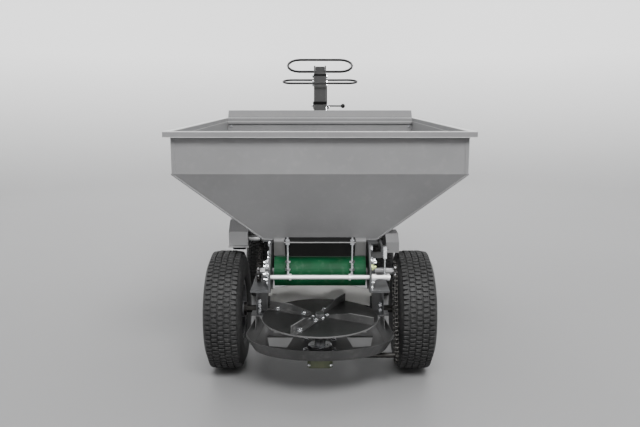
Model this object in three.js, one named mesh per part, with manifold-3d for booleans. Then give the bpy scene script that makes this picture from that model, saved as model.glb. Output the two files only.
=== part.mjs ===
// A towed lawn topdresser: hopper, belt floor, metering gate, spinner, four wheels and a drawbar.
// Millimetres, +Z up, +X to the right and +Y forward, from the spinner towards the drawbar.
// Lengths along Y are given from the rear axle, and the group is centred at the end.
import * as THREE from "three";
import { mergeVertices } from "three/addons/utils/BufferGeometryUtils.js";
import Module from "manifold-3d";

const wasm = await Module();
wasm.setup();

// Clearances and stock
const gap = 0.3;
const overrun = 4;
const sheet = 3;
const plate = 6;
const boltRadius = 5;
const boltHeight = 6;

// Hopper
const rimWidth = 900;
const rimLength = 1230;
const rimTop = 783;
const rimRear = -200;
const rimLip = 19;
const rimSkirt = 17;
const boxHeight = 124;
const seamWidth = 10;
const seamThickness = 2;
const outletTop = 443;
const outletWidth = 360;
const outletRear = -70;
const outletLength = 660;
const chuteWidth = 286;
const chuteRear = -95;
const chuteBottom = 395;
const mouthWidth = 190;
const mouthHeight = 42;

// Front apron above the far rim
const apronWidth = 860;
const apronRise = 30;
const apronReach = 30;
const apronSkirt = 40;

// Belt floor
const rollerRadius = 42;
const rollerZ = 347;
const rearRollerY = -100;
const frontRollerY = 600;
const rollerShaftRadius = 12;
const beltThickness = 3;
const beltWidth = 280;

// Side plates of the conveyor, and the frame that they carry
const framePlateX = 150;
const framePlateRear = -204;
const framePlateFront = 900;
const framePlateBottom = 308;
const framePlateTop = outletTop - sheet - gap;
const noseBottom = 363;
const noseStart = 660;
const plateChamfer = 62;
const flangeWidth = 26;
const footFlangeWidth = 54;
const footFlangeFront = 20;
const crossTube = 40;
const rearCrossY = 120;
const bearingRadius = 32;
const bearingDepth = 16;

// Metering gate and its lifting gear
const gateWidth = 216;
const gateShelfDepth = 64;
const gateTop = 453;
const gateShut = 394;
const rodSpacing = 194;
const rodRadius = 3.2;
const rodSleeveRadius = 5;
const nutRadius = 9;
const nutHeight = 6;
const crossShaftY = -186;
const crossShaftZ = 351;
const crossShaftRadius = 7;
const crossShaftLeft = -146;
const crossShaftRight = 209;
const crankLength = 32;
const crankThickness = 6;
const crankPinRadius = 2.6;
const crankTilt = THREE.MathUtils.degToRad(8);
const crankEnd = THREE.MathUtils.degToRad(42);
const eyeSlack = 1.3;
const eyeWall = 3.4;
const leverX = 204;
const leverLength = 34;
const armPivotY = -60;
const armPivotZ = 428;
const armPivotX = 187;
const armWidth = 20;
const armThickness = 6;
const armHandleReach = 310;
const gripReach = 120;
const gripRadius = 11;
const yokeHeight = 26;
const yokeWidth = 20;
const yokeDepth = 14;
const linkRodRadius = 3;

// Rear wheels and axle
const rearWheelX = 301;
const rearTyreRadius = 192;
const rearTyreWidth = 120;
const rearRimRadius = 101;
const treadDepth = 8;
const treadPitches = 18;
const treadRows = 4;
const axleRadius = 12.5;
const axleBracketX = 168;
const axleBracketWidth = 90;

// Drive on the left and chain on the right
const driveY = 60;
const driveZ = 417;
const driveShaftRadius = 9;
const driveShaftLeft = -292;
const frictionRadius = 38;
const frictionWidth = 40;
const coverLeftOuter = 296;
const coverLeftInner = 234;
const coverLeftRear = 6;
const coverLeftFront = 112;
const coverLeftTop = 480;
const coverRightInner = 203;
const coverRightOuter = 243;
const coverRightRear = -112;
const coverRightFront = -16;
const coverRightBottom = 408;
const coverRightTop = 462;
const mudguardOuter = 296;
const mudguardBottom = 401;
const coverLeftBottom = mudguardBottom + sheet + gap;
const mudguardRear = -10;
const mudguardFront = 128;
const sprocketThickness = 5;
const sprocketLargeRadius = 26;
const sprocketSmallRadius = 20;
const chainWidth = 8;
const chainThickness = 6;
const leftChainX = -190;
const rightChainX = 232;

// Spinner, its shield, pan, legs and gear housing
const spinnerY = -185;
const discZ = 229;
const discRadius = 175;
const discThickness = 4;
const vaneHeight = 24;
const vaneThickness = 3;
const vaneInner = 30;
const vaneShoulder = 100;
const vaneInnerHeight = 8;
const vaneFoot = 20;
const vaneTurn = THREE.MathUtils.degToRad(-28);
const spinnerShaftRadius = 10;
const hubRadius = 26;
const hubHeight = 14;
const shieldRadius = 230;
const shieldHalfAngle = THREE.MathUtils.degToRad(45);
const shieldBottom = 209;
const shieldTop = 264;
const panHalfWidth = 226;
const panReach = 138;
const panMiddleY = -180;
const panFrontY = 0;
const panFrontHalfWidth = 206;
const panEdge = 30;
const panFlare = 24;
const panZ = 131;
const panRim = 40;
const panLugTop = 201;
const legTube = 36;
const legX = 183;
const legY = -72;
const legFoot = 34;
const legGusset = 60;
const gearHousing = 76;
const gearHousingHeight = 52;
const bearingCapRadius = 24;
const bearingCapHeight = 4;
const spinnerShaftDepth = 12;
const panHoleClearance = 1.5;
const inputShaftRadius = 8;

// Front axle, steered by the drawbar
const frontAxleY = 780;
const frontSides = 18;
const frontTyreRadius = 150;
const frontTyreWidth = 106;
const frontRimRadius = 68;
const frontWheelX = 265;
const frontBeamWidth = 40;
const kingpinRadius = 11;
const turntableRadius = 85;
const headRadius = 32;
const tongueLength = 150;
const earThickness = 8;
const strutY = 850;

// Drawbar and its handles
const drawbarPivotZ = 198;
const drawbarLean = THREE.MathUtils.degToRad(22);
const postWidth = 60;
const postWall = 4;
const postLength = 850;
const bailBelow = 28;
const leverBelow = 170;
const pivotRadius = 9;
const forkHeight = 40;
const handleWidth = 322;
const handleDepth = 118;
const handleTube = 6;
const handleDrop = 40;
const handleTilt = THREE.MathUtils.degToRad(54);
const bailWidth = 358;
const bailDepth = 84;
const bailTube = 5;
const bailAlong = postLength - bailBelow;
const bailTilt = THREE.MathUtils.degToRad(34);
const cableRadius = 2.5;
const leverAlong = postLength - leverBelow;
const knobRadius = 11;
const driveLeverLength = 64;

const paint = {
  hopper: standard(0x9b9c9e, 0.42, 0.15),
  shield: standard(0xa8a6a2, 0.4, 0.15),
  frame: standard(0x3c3e42, 0.5, 0.2),
  zinc: standard(0xc9ccd1, 0.3, 0.95),
  steel: standard(0x8f9297, 0.38, 0.95),
  rubber: standard(0x1b1b1d, 0.85, 0),
  belt: standard(0x0f6a45, 0.6, 0),
  rim: standard(0x55585c, 0.45, 0.4),
  black: standard(0x141416, 0.55, 0.1),
  housing: standard(0x7c8a4a, 0.55, 0.3),
};

function standard(color, roughness, metalness) {
  return new THREE.MeshStandardMaterial({ color, roughness, metalness });
}

// A closed geometry as a solid that can be joined and cut.
function solid(geometry) {
  const bare = geometry.clone();
  bare.deleteAttribute("normal");
  bare.deleteAttribute("uv");
  const merged = mergeVertices(bare, 1e-4 * gap);
  return new wasm.Manifold(
    new wasm.Mesh({
      numProp: 3,
      vertProperties: merged.attributes.position.array,
      triVerts: new Uint32Array(merged.index.array),
    }),
  );
}

function join(...solids) {
  return solids.reduce((whole, next) => whole.add(next));
}

function cut(whole, ...tools) {
  return tools.reduce((left, tool) => left.subtract(tool), whole);
}

// A box between two corners.
function box(x0, x1, y0, y1, z0, z1) {
  const geometry = new THREE.BoxGeometry(x1 - x0, y1 - y0, z1 - z0);
  geometry.translate((x0 + x1) / 2, (y0 + y1) / 2, (z0 + z1) / 2);
  return solid(geometry);
}

const AXES = {
  x: new THREE.Matrix4().makeRotationZ(-Math.PI / 2),
  y: new THREE.Matrix4(),
  z: new THREE.Matrix4().makeRotationX(Math.PI / 2),
};

// A cylinder along an axis, from one end to the other, round a centre given in the other two axes.
function rod(axis, radius, from, to, a, b, sides = 12) {
  const geometry = new THREE.CylinderGeometry(radius, radius, to - from, sides);
  geometry.applyMatrix4(AXES[axis]);
  const middle = (from + to) / 2;
  const place = { x: [middle, a, b], y: [a, middle, b], z: [a, b, middle] }[axis];
  geometry.translate(...place);
  return solid(geometry);
}

// A round hole whose flats stay outside the radius, so that a shaft turns in it.
function bore(axis, radius, from, to, a, b, sides = 12) {
  return rod(axis, radius / Math.cos(Math.PI / sides), from, to, a, b, sides);
}

// An outline in Y and Z, given thickness along X.
function slabYZ(points, x0, x1) {
  const shape = new THREE.Shape(points.map(([y, z]) => new THREE.Vector2(y, z)));
  const geometry = new THREE.ExtrudeGeometry(shape, { depth: x1 - x0, bevelEnabled: false });
  geometry.applyMatrix4(
    new THREE.Matrix4().makeBasis(
      new THREE.Vector3(0, 1, 0),
      new THREE.Vector3(0, 0, 1),
      new THREE.Vector3(1, 0, 0),
    ),
  );
  geometry.translate(x0, 0, 0);
  return solid(geometry);
}

// An outline in X and Y, given height along Z.
function slabXY(shape, z0, z1, curveSegments = 24) {
  const settings = { depth: z1 - z0, bevelEnabled: false, curveSegments };
  const geometry = new THREE.ExtrudeGeometry(shape, settings);
  geometry.translate(0, 0, z0);
  return solid(geometry);
}

// A revolved profile of [radius, along] points round the X axis.
function turned(points, sides) {
  const profile = points.map(([radius, along]) => new THREE.Vector2(radius, along));
  const geometry = new THREE.LatheGeometry(profile, sides);
  geometry.applyMatrix4(AXES.x);
  const made = solid(geometry);
  if (made.volume() > 0) return made;
  const turnedOver = new THREE.LatheGeometry(profile.reverse(), sides);
  turnedOver.applyMatrix4(AXES.x);
  return solid(turnedOver);
}

// A frustum with a rectangle at each end, for sloped sheet walls.
function funnel(low, high) {
  const corners = [low, high].flatMap((end) => [
    [end.x0, end.y0, end.z],
    [end.x1, end.y0, end.z],
    [end.x1, end.y1, end.z],
    [end.x0, end.y1, end.z],
  ]);
  const faces = [0, 2, 1, 0, 3, 2, 4, 5, 6, 4, 6, 7];
  for (let i = 0; i < 4; i++) {
    const next = (i + 1) % 4;
    faces.push(i, next, next + 4, i, next + 4, i + 4);
  }
  const geometry = new THREE.BufferGeometry();
  geometry.setAttribute("position", new THREE.Float32BufferAttribute(corners.flat(), 3));
  geometry.setIndex(faces);
  return solid(geometry);
}

// A solid between two outlines of as many points each, one above the other.
function loft(low, z0, high, z1) {
  const count = low.length;
  const corners = [...low.map(([x, y]) => [x, y, z0]), ...high.map(([x, y]) => [x, y, z1])];
  const faces = [];
  for (let i = 1; i < count - 1; i++) {
    faces.push(0, i + 1, i, count, count + i, count + i + 1);
  }
  for (let i = 0; i < count; i++) {
    const next = (i + 1) % count;
    faces.push(i, next, next + count, i, next + count, i + count);
  }
  const geometry = new THREE.BufferGeometry();
  geometry.setAttribute("position", new THREE.Float32BufferAttribute(corners.flat(), 3));
  geometry.setIndex(faces);
  return solid(geometry);
}

// A round bar bent along a curve.
function bentBar(curve, radius, steps, sides) {
  const section = new THREE.Shape();
  for (let i = 0; i < sides; i++) {
    const angle = (2 * Math.PI * i) / sides;
    const point = [radius * Math.cos(angle), radius * Math.sin(angle)];
    if (i === 0) section.moveTo(...point);
    else section.lineTo(...point);
  }
  const geometry = new THREE.ExtrudeGeometry(section, {
    steps,
    extrudePath: curve,
    bevelEnabled: false,
  });
  return solid(geometry);
}

const machine = new THREE.Group();

// A finished solid becomes a named mesh.
function part(name, whole, material, parent = machine) {
  const mesh = whole.asOriginal().getMesh();
  const geometry = new THREE.BufferGeometry();
  geometry.setAttribute("position", new THREE.BufferAttribute(mesh.vertProperties, 3));
  geometry.setIndex(new THREE.BufferAttribute(mesh.triVerts, 1));
  const flat = geometry.toNonIndexed();
  flat.computeVertexNormals();
  const made = new THREE.Mesh(flat, material);
  made.name = name;
  parent.add(made);
  return made;
}

function mirroredX(whole) {
  return whole.mirror([1, 0, 0]);
}

// The same solid on both sides, the right one as it is built.
function pair(name, whole, material) {
  part(name + "_right", whole, material);
  part(name + "_left", mirroredX(whole), material);
}

// Sloped walls of the hopper, outside or inset by the sheet's thickness.
function hopperVolume(inset, raise) {
  const bodyHalf = rimWidth / 2 - rimLip - inset;
  const bodyRear = rimRear + rimLip + inset;
  const bodyFront = rimRear + rimLength - rimLip - inset;
  const crease = rimTop - boxHeight;
  const upper = { x0: -bodyHalf, x1: bodyHalf, y0: bodyRear, y1: bodyFront };
  const outletHalf = outletWidth / 2 - inset;
  const lower = {
    x0: -outletHalf,
    x1: outletHalf,
    y0: outletRear + inset,
    y1: outletRear + outletLength - inset,
    z: outletTop,
  };
  const sloped = funnel(lower, { ...upper, z: crease });
  const straight = box(upper.x0, upper.x1, upper.y0, upper.y1, crease, rimTop + raise);
  return join(sloped, straight);
}

function hopper() {
  const half = rimWidth / 2;
  const front = rimRear + rimLength;
  const lipBlock = box(-half, half, rimRear, front, rimTop - rimSkirt, rimTop);
  const underLip = box(
    -half + sheet,
    half - sheet,
    rimRear + sheet,
    front - sheet,
    rimTop - rimSkirt - overrun,
    rimTop - sheet,
  );
  const lip = cut(lipBlock, underLip);
  const chuteHalf = chuteWidth / 2;
  const chuteFront = outletRear + outletLength;
  const chute = box(-chuteHalf, chuteHalf, chuteRear, chuteFront, chuteBottom, outletTop + sheet);
  const ledge = box(
    -outletWidth / 2,
    outletWidth / 2,
    outletRear,
    chuteFront,
    outletTop - sheet,
    outletTop + sheet,
  );
  const shell = join(hopperVolume(0, 0), lip, chute, ledge);
  const chuteInside = box(
    -chuteHalf + sheet,
    chuteHalf - sheet,
    outletRear + sheet,
    chuteFront - sheet,
    chuteBottom - overrun,
    outletTop + sheet + overrun,
  );
  const mouthInside = box(
    -chuteHalf + sheet,
    chuteHalf - sheet,
    chuteRear + sheet,
    outletRear + sheet + overrun,
    chuteBottom - overrun,
    outletTop - sheet,
  );
  const mouth = box(
    -mouthWidth / 2,
    mouthWidth / 2,
    chuteRear - overrun,
    chuteRear + sheet + overrun,
    chuteBottom - overrun,
    chuteBottom + mouthHeight,
  );
  const open = cut(shell, hopperVolume(sheet, overrun), chuteInside, mouthInside, mouth);
  const bodyRear = rimRear + rimLip;
  const bodyFront = front - rimLip;
  const bodyHalf = half - rimLip;
  const seams = [];
  for (const side of [-1, 1])
    for (const [y0, y1] of [
      [bodyRear - seamThickness, bodyRear + sheet],
      [bodyFront - sheet, bodyFront + seamThickness],
    ]) {
      const outer = side * bodyHalf;
      const inner = side * (bodyHalf - seamWidth);
      const ends = [Math.min(outer, inner), Math.max(outer, inner)];
      seams.push(box(...ends, y0, y1, rimTop - boxHeight, rimTop - sheet));
    }
  // Stiffening angle along the top of the far wall, inside.
  const angleDrop = 1.4 * rimLip;
  const stiffener = box(
    -bodyHalf + sheet,
    bodyHalf - sheet,
    bodyFront - sheet - seamWidth,
    bodyFront,
    rimTop - angleDrop,
    rimTop,
  );
  part("hopper", join(open, ...seams, stiffener), paint.hopper);
}

function frontApron() {
  const half = apronWidth / 2;
  const start = rimRear + rimLength + gap;
  const low = rimTop - rimSkirt;
  const tip = start + apronReach;
  const top = rimTop + apronRise;
  const outline = [
    [start, low],
    [start + sheet, low],
    [start + sheet, rimTop],
    [tip, top - sheet],
    [tip, top - apronSkirt],
    [tip + sheet, top - apronSkirt],
    [tip + sheet, top + sheet],
    [tip - sheet, top + sheet],
    [start, rimTop + sheet],
  ];
  part("front_apron", slabYZ(outline, -half, half), paint.hopper);
}

// One side plate of the conveyor, with the flange that carries the hopper and the foot flange.
function sidePlate() {
  const inner = framePlateX - plate / 2;
  const outer = framePlateX + plate / 2;
  const outline = [
    [framePlateRear, framePlateBottom],
    [noseStart, framePlateBottom],
    [noseStart + noseBottom - framePlateBottom, noseBottom],
    [framePlateFront, noseBottom],
    [framePlateFront, framePlateTop],
    [framePlateRear + plateChamfer, framePlateTop],
    [framePlateRear, framePlateTop - plateChamfer],
  ];
  const topFlange = box(
    outer - overrun,
    outer + flangeWidth,
    outletRear,
    framePlateFront,
    framePlateTop - plate,
    framePlateTop,
  );
  const footFlange = box(
    outer - overrun,
    outer + footFlangeWidth,
    framePlateRear,
    footFlangeFront,
    framePlateBottom,
    framePlateBottom + plate,
  );
  const through = [inner - overrun, outer + overrun];
  const rollerHole = rollerShaftRadius + gap;
  const holes = [
    bore("x", rollerHole, ...through, rearRollerY, rollerZ),
    bore("x", rollerHole, ...through, frontRollerY, rollerZ),
    bore("x", crossShaftRadius + gap, ...through, crossShaftY, crossShaftZ),
  ];
  return cut(join(slabYZ(outline, inner, outer), topFlange, footFlange), ...holes);
}

// Both side plates, with the front roller's bearing boss, the drive bearing and the arm's stub on them.
function framePlates() {
  const whole = join(sidePlate(), frontBoss());
  part("side_plate_right", join(whole, armStub()), paint.frame);
  part("side_plate_left", join(mirroredX(whole), driveBearing()), paint.frame);
}

// Welded boss that carries the front roller's shaft.
function frontBoss() {
  const face = framePlateX + plate / 2;
  const boss = rod(
    "x",
    0.7 * bearingRadius,
    face - plate / 2,
    face + bearingDepth,
    frontRollerY,
    rollerZ,
    20,
  );
  const hole = bore(
    "x",
    rollerShaftRadius + gap,
    face - plate,
    face + bearingDepth + overrun,
    frontRollerY,
    rollerZ,
  );
  return cut(boss, hole);
}

// Welded block that carries the drive shaft's inner end.
function driveBearing() {
  const face = -(framePlateX + plate / 2);
  const block = box(
    face - bearingDepth,
    face + plate / 2,
    driveY - bearingRadius,
    driveY + bearingRadius,
    driveZ - 2 * driveShaftRadius,
    framePlateTop - plate / 2,
  );
  const hole = bore(
    "x",
    driveShaftRadius + gap,
    face - bearingDepth - overrun,
    face,
    driveY,
    driveZ,
  );
  return cut(block, hole);
}

// Tube and pads that tie the side plates together behind the axle.
function crossMembers() {
  const half = framePlateX - plate / 2 - gap;
  const beltUnder = rollerZ - rollerRadius - gap - beltThickness;
  const top = rollerZ + crossTube / 4;
  const tube = box(
    -half,
    half,
    rearCrossY,
    rearCrossY + crossTube,
    top - crossTube / 2,
    top,
  );
  const ends = [-1, 1].map((side) => {
    const x = side * (half - plate / 2);
    return box(
      x - plate / 2,
      x + plate / 2,
      rearCrossY - crossTube / 2,
      rearCrossY + 1.5 * crossTube,
      beltUnder + crossTube / 2,
      top + plate,
    );
  });
  part("cross_member", join(tube, ...ends), paint.frame);
}

// Plate and channel at the nose, which carry the turntable.
function kingpinPlate() {
  const half = framePlateX - plate / 2 - gap;
  const reach = turntableRadius + crossTube / 2;
  const floor = box(
    -half,
    half,
    frontAxleY - reach,
    frontAxleY + reach,
    noseBottom,
    noseBottom + plate,
  );
  const webs = [-1, 1].map((side) => {
    const y = frontAxleY + side * (reach - plate / 2);
    return box(-half, half, y - plate / 2, y + plate / 2, noseBottom, framePlateTop - plate);
  });
  const hole = bore(
    "z",
    kingpinRadius + gap,
    noseBottom - overrun,
    noseBottom + plate + overrun,
    0,
    frontAxleY,
  );
  part("kingpin_plate", cut(join(floor, ...webs), hole), paint.frame);
}

// Plate between the runs of the belt, with turned down edges.
function beltBed() {
  const top = rollerZ + rollerRadius;
  const start = rearRollerY + rollerRadius + plate;
  const end = frontRollerY - rollerRadius - plate;
  const half = framePlateX - plate / 2 - gap;
  const deck = box(-half, half, start, end, top - sheet, top);
  const edges = [-1, 1].map((side) => {
    const x = side * (half - sheet / 2);
    const depth = rollerRadius / 2;
    return box(x - sheet / 2, x + sheet / 2, start, end, top - depth, top);
  });
  part("belt_bed", join(deck, ...edges), paint.frame);
}

// A band round two rollers, in Y and Z, as an outline.
function bandShape(y0, z0, r0, y1, z1, r1) {
  const across = new THREE.Vector2(y1 - y0, z1 - z0);
  const heading = across.angle();
  const lean = Math.acos((r0 - r1) / across.length());
  const shape = new THREE.Shape();
  shape.absarc(y1, z1, r1, heading - lean, heading + lean, false);
  shape.absarc(y0, z0, r0, heading + lean, heading - lean + 2 * Math.PI, false);
  shape.closePath();
  return shape;
}

function band(y0, z0, r0, y1, z1, r1, thickness, x0, x1, curveSegments) {
  const layers = [thickness, 0].map((grow, i) => {
    const shape = bandShape(y0, z0, r0 + grow, y1, z1, r1 + grow);
    const points = shape.getPoints(curveSegments).slice(0, -1);
    const spread = i * overrun;
    const outline = points.map((p) => [p.x, p.y]);
    return slabYZ(outline, x0 - spread, x1 + spread);
  });
  return cut(...layers);
}

function belt() {
  const radius = rollerRadius + gap;
  const half = beltWidth / 2;
  const run = [rearRollerY, rollerZ, radius, frontRollerY, rollerZ, radius];
  part("conveyor_belt", band(...run, beltThickness, -half, half, 8), paint.belt);
}

function roller(name, y, left, right, extras) {
  const half = beltWidth / 2;
  const drum = rod("x", rollerRadius, -half, half, y, rollerZ, 18);
  const shaft = rod("x", rollerShaftRadius, left, right, y, rollerZ);
  part(name, join(drum, shaft, ...extras), paint.steel);
}

function sprocket(x, y, z, radius) {
  const teeth = 10;
  const shape = new THREE.Shape();
  for (let i = 0; i < 2 * teeth; i++) {
    const angle = (Math.PI * i) / teeth;
    const reach = i % 2 ? radius : radius - chainThickness / 2;
    const point = [y + reach * Math.cos(angle), z + reach * Math.sin(angle)];
    if (i === 0) shape.moveTo(...point);
    else shape.lineTo(...point);
  }
  const outline = shape.getPoints().map((p) => [p.x, p.y]);
  const half = sprocketThickness / 2;
  return slabYZ(outline, x - half, x + half);
}

function rollers() {
  const outside = framePlateX + plate / 2 + bearingDepth + gap;
  roller(
    "rear_roller",
    rearRollerY,
    leftChainX - sprocketThickness,
    rightChainX + sprocketThickness,
    [
      sprocket(leftChainX, rearRollerY, rollerZ, sprocketLargeRadius),
      sprocket(rightChainX, rearRollerY, rollerZ, sprocketLargeRadius),
    ],
  );
  roller("front_roller", frontRollerY, -outside, outside, []);
}

// A flanged bearing on the outer face of a side plate: oval flange, round boss, two bolt heads.
function rollerBearing(y) {
  const face = framePlateX + plate / 2 + gap;
  const flange = rod("x", bearingRadius, face, face + plate, y, rollerZ, 14);
  const boss = rod("x", 0.7 * bearingRadius, face, face + bearingDepth, y, rollerZ, 14);
  const hole = bore(
    "x",
    rollerShaftRadius + gap,
    face - overrun,
    face + bearingDepth + overrun,
    y,
    rollerZ,
  );
  const bolts = [-1, 1].map((side) => {
    const offset = side * 0.84 * bearingRadius;
    const head = face + plate + boltHeight / 2;
    return rod("x", 0.9 * boltRadius, face, head, y, rollerZ + offset, 6);
  });
  return cut(join(flange, boss, ...bolts), hole);
}

function bearings() {
  pair("rear_roller_bearing", rollerBearing(rearRollerY), paint.housing);
}

const crankReach = crankLength * Math.cos(crankTilt);
const crankFall = crankLength * Math.sin(crankTilt);
const rodY = crossShaftY + crankReach;
const rodEyeZ = crossShaftZ - crankFall;

// Gate leaf with its folded shelf, on which the rods hang.
function gate() {
  const back = chuteRear - gap;
  const leaf = box(-gateWidth / 2, gateWidth / 2, back - sheet, back, gateShut, gateTop);
  const shelf = box(
    -gateWidth / 2,
    gateWidth / 2,
    back - gateShelfDepth - sheet,
    back,
    gateTop - sheet,
    gateTop,
  );
  const cheeks = [-1, 1].map((side) => {
    const x = side * (gateWidth / 2 - sheet / 2);
    const outline = [
      [back - gateShelfDepth / 2, gateTop],
      [back - sheet / 2, gateShut + mouthHeight / 4],
      [back - sheet / 2, gateTop],
    ];
    return slabYZ(outline, x - sheet / 2, x + sheet / 2);
  });
  const holes = [-1, 1].map((side) =>
    bore(
      "z",
      rodRadius + gap,
      gateTop - sheet - overrun,
      gateTop + overrun,
      (side * rodSpacing) / 2,
      rodY,
      12,
    ),
  );
  part("gate_leaf", cut(join(leaf, shelf, ...cheeks), ...holes), paint.frame);
}

// How far a pin on a crank swings to the rear and to the front, from rest to its end.
function crankSwing(length) {
  return {
    back: length * (Math.cos(crankTilt) - Math.cos(crankEnd)),
    ahead: length * (1 - Math.cos(crankTilt)),
  };
}

// An eye round a crank pin, slotted along Y for the pin's swing.
function slottedEye(x, y, z, { back, ahead }) {
  const half = rodSleeveRadius;
  const hole = crankPinRadius + eyeSlack;
  const outer = hole + eyeWall;
  const eye = box(x - half, x + half, y - back - outer, y + ahead + outer, z - outer, z + outer);
  const past = half + overrun;
  const slot = box(x - past, x + past, y - back - hole, y + ahead + hole, z - hole, z + hole);
  return { eye, slot };
}

// Threaded rod with its nuts, sleeve and slotted eye.
function gateRod(side) {
  const x = (side * rodSpacing) / 2;
  const eyeTop = rodEyeZ + crankPinRadius + eyeSlack + eyeWall;
  const sleeveTop = gateShut;
  const thread = rod("z", rodRadius, eyeTop - overrun, gateTop + 2 * nutHeight, x, rodY, 10);
  const sleeve = rod("z", rodSleeveRadius, eyeTop - gap, sleeveTop, x, rodY, 10);
  const block = rod("z", nutRadius, sleeveTop - nutHeight, sleeveTop, x, rodY, 6);
  const lower = rod("z", nutRadius, sleeveTop - 5 * nutHeight, sleeveTop - 4 * nutHeight, x, rodY, 6);
  const under = rod(
    "z",
    0.8 * nutRadius,
    gateTop - sheet - gap - nutHeight,
    gateTop - sheet - gap,
    x,
    rodY,
    6,
  );
  const over = rod("z", 0.8 * nutRadius, gateTop + gap, gateTop + gap + nutHeight, x, rodY, 6);
  const { eye, slot } = slottedEye(x, rodY, rodEyeZ, crankSwing(crankLength));
  return cut(join(thread, sleeve, block, lower, under, over, eye), slot);
}

// A crank arm from the cross shaft to a pin, as two discs with their common tangents.
function crankArm(x0, x1, length, tilt) {
  const endY = crossShaftY + length * Math.cos(tilt);
  const endZ = crossShaftZ - length * Math.sin(tilt);
  const points = bandShape(
    crossShaftY,
    crossShaftZ,
    1.5 * crossShaftRadius,
    endY,
    endZ,
    2 * crankPinRadius,
  ).getPoints(3);
  const outline = points.slice(0, -1).map((p) => [p.x, p.y]);
  return { arm: slabYZ(outline, x0, x1), endY, endZ };
}

function crossShaft() {
  const pieces = [
    rod("x", crossShaftRadius, crossShaftLeft - plate, crossShaftRight, crossShaftY, crossShaftZ),
  ];
  const eyeHalf = rodSleeveRadius + gap;
  for (const side of [-1, 1]) {
    const eyeX = (side * rodSpacing) / 2;
    const near = eyeX - side * eyeHalf;
    const far = near - side * crankThickness;
    const { arm, endY, endZ } = crankArm(
      Math.min(near, far),
      Math.max(near, far),
      crankLength,
      crankTilt,
    );
    const tip = eyeX + side * (eyeHalf + sheet / 2);
    const pin = rod("x", crankPinRadius, Math.min(far, tip), Math.max(far, tip), endY, endZ, 10);
    pieces.push(arm, pin);
  }
  // Lever at the right end, on which the link rod pulls, with a collar inside it.
  const leverNear = leverX - armThickness / 2;
  const lever = crankArm(leverNear, leverNear + armThickness, leverLength, crankTilt);
  const leverPin = rod(
    "x",
    crankPinRadius,
    leverNear - rodSleeveRadius * 2 - gap - sheet,
    leverNear + overrun / 2,
    lever.endY,
    lever.endZ,
    10,
  );
  const collarFrom = framePlateX + plate / 2 + gap;
  const collar = rod(
    "x",
    1.5 * crossShaftRadius,
    collarFrom,
    collarFrom + 2 * crossShaftRadius,
    crossShaftY,
    crossShaftZ,
  );
  part("gate_cross_shaft", join(...pieces, lever.arm, leverPin, collar), paint.zinc);
  return lever;
}

const linkX = leverX - armThickness / 2 - gap - rodSleeveRadius;
const linkEndY = crossShaftY + leverLength * Math.cos(crankTilt);
const linkEndZ = crossShaftZ - leverLength * Math.sin(crankTilt);
const clevisY = linkEndY;
const armReach = armPivotY - clevisY;
const armSwing = Math.asin((leverLength * (Math.sin(crankTilt) + Math.sin(crankEnd))) / armReach);
const clevisZ = armPivotZ - gap;

// Flat arm on a stub pin, with a hand grip that runs forward inside the right wheel.
function gateArm() {
  const half = armWidth / 2;
  const x0 = armPivotX - armThickness / 2;
  const x1 = armPivotX + armThickness / 2;
  const end = armPivotY + armHandleReach;
  const bar = box(x0, x1, clevisY - half, end, armPivotZ - half, armPivotZ + half);
  const coreRadius = 0.6 * gripRadius;
  const gripX = x1 + gripRadius;
  const lug = box(
    x1 - overrun / 2,
    gripX + coreRadius,
    end - armWidth,
    end,
    armPivotZ - coreRadius,
    armPivotZ + coreRadius,
  );
  const core = rod("y", coreRadius, end - half, end + gripReach, gripX, armPivotZ);
  const hole = bore("x", boltRadius + gap, x0 - overrun, x1 + overrun, armPivotY, armPivotZ);
  const clevisPin = rod(
    "x",
    crankPinRadius,
    x1 - overrun / 2,
    linkX + rodSleeveRadius + 2 * sheet,
    clevisY,
    armPivotZ,
    10,
  );
  part("gate_arm", cut(join(bar, lug, core, clevisPin), hole), paint.frame);
  const sleeve = rod("y", gripRadius, end + gap, end + gripReach + sheet, gripX, armPivotZ, 14);
  const round = bore(
    "y",
    coreRadius + gap,
    end - overrun,
    end + gripReach + gap,
    gripX,
    armPivotZ,
  );
  part("gate_lever_grip", cut(sleeve, round), paint.black);
}

// Stub pin on which the gate arm turns, on a small plate welded to the right side plate.
function armStub() {
  const face = framePlateX + plate / 2 - gap;
  const foot = box(
    face,
    face + sheet,
    armPivotY - armWidth,
    armPivotY + armWidth,
    armPivotZ - 2.2 * armWidth,
    framePlateTop,
  );
  const pin = rod(
    "x",
    boltRadius,
    face,
    armPivotX + armThickness / 2 + gap + boltHeight / 2,
    armPivotY,
    armPivotZ,
    12,
  );
  const shoulder = rod(
    "x",
    1.6 * boltRadius,
    face,
    armPivotX - armThickness / 2 - gap,
    armPivotY,
    armPivotZ,
    12,
  );
  const head = rod(
    "x",
    1.7 * boltRadius,
    armPivotX + armThickness / 2 + gap,
    armPivotX + armThickness / 2 + gap + boltHeight,
    armPivotY,
    armPivotZ,
    6,
  );
  return join(foot, shoulder, pin, head);
}

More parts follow.
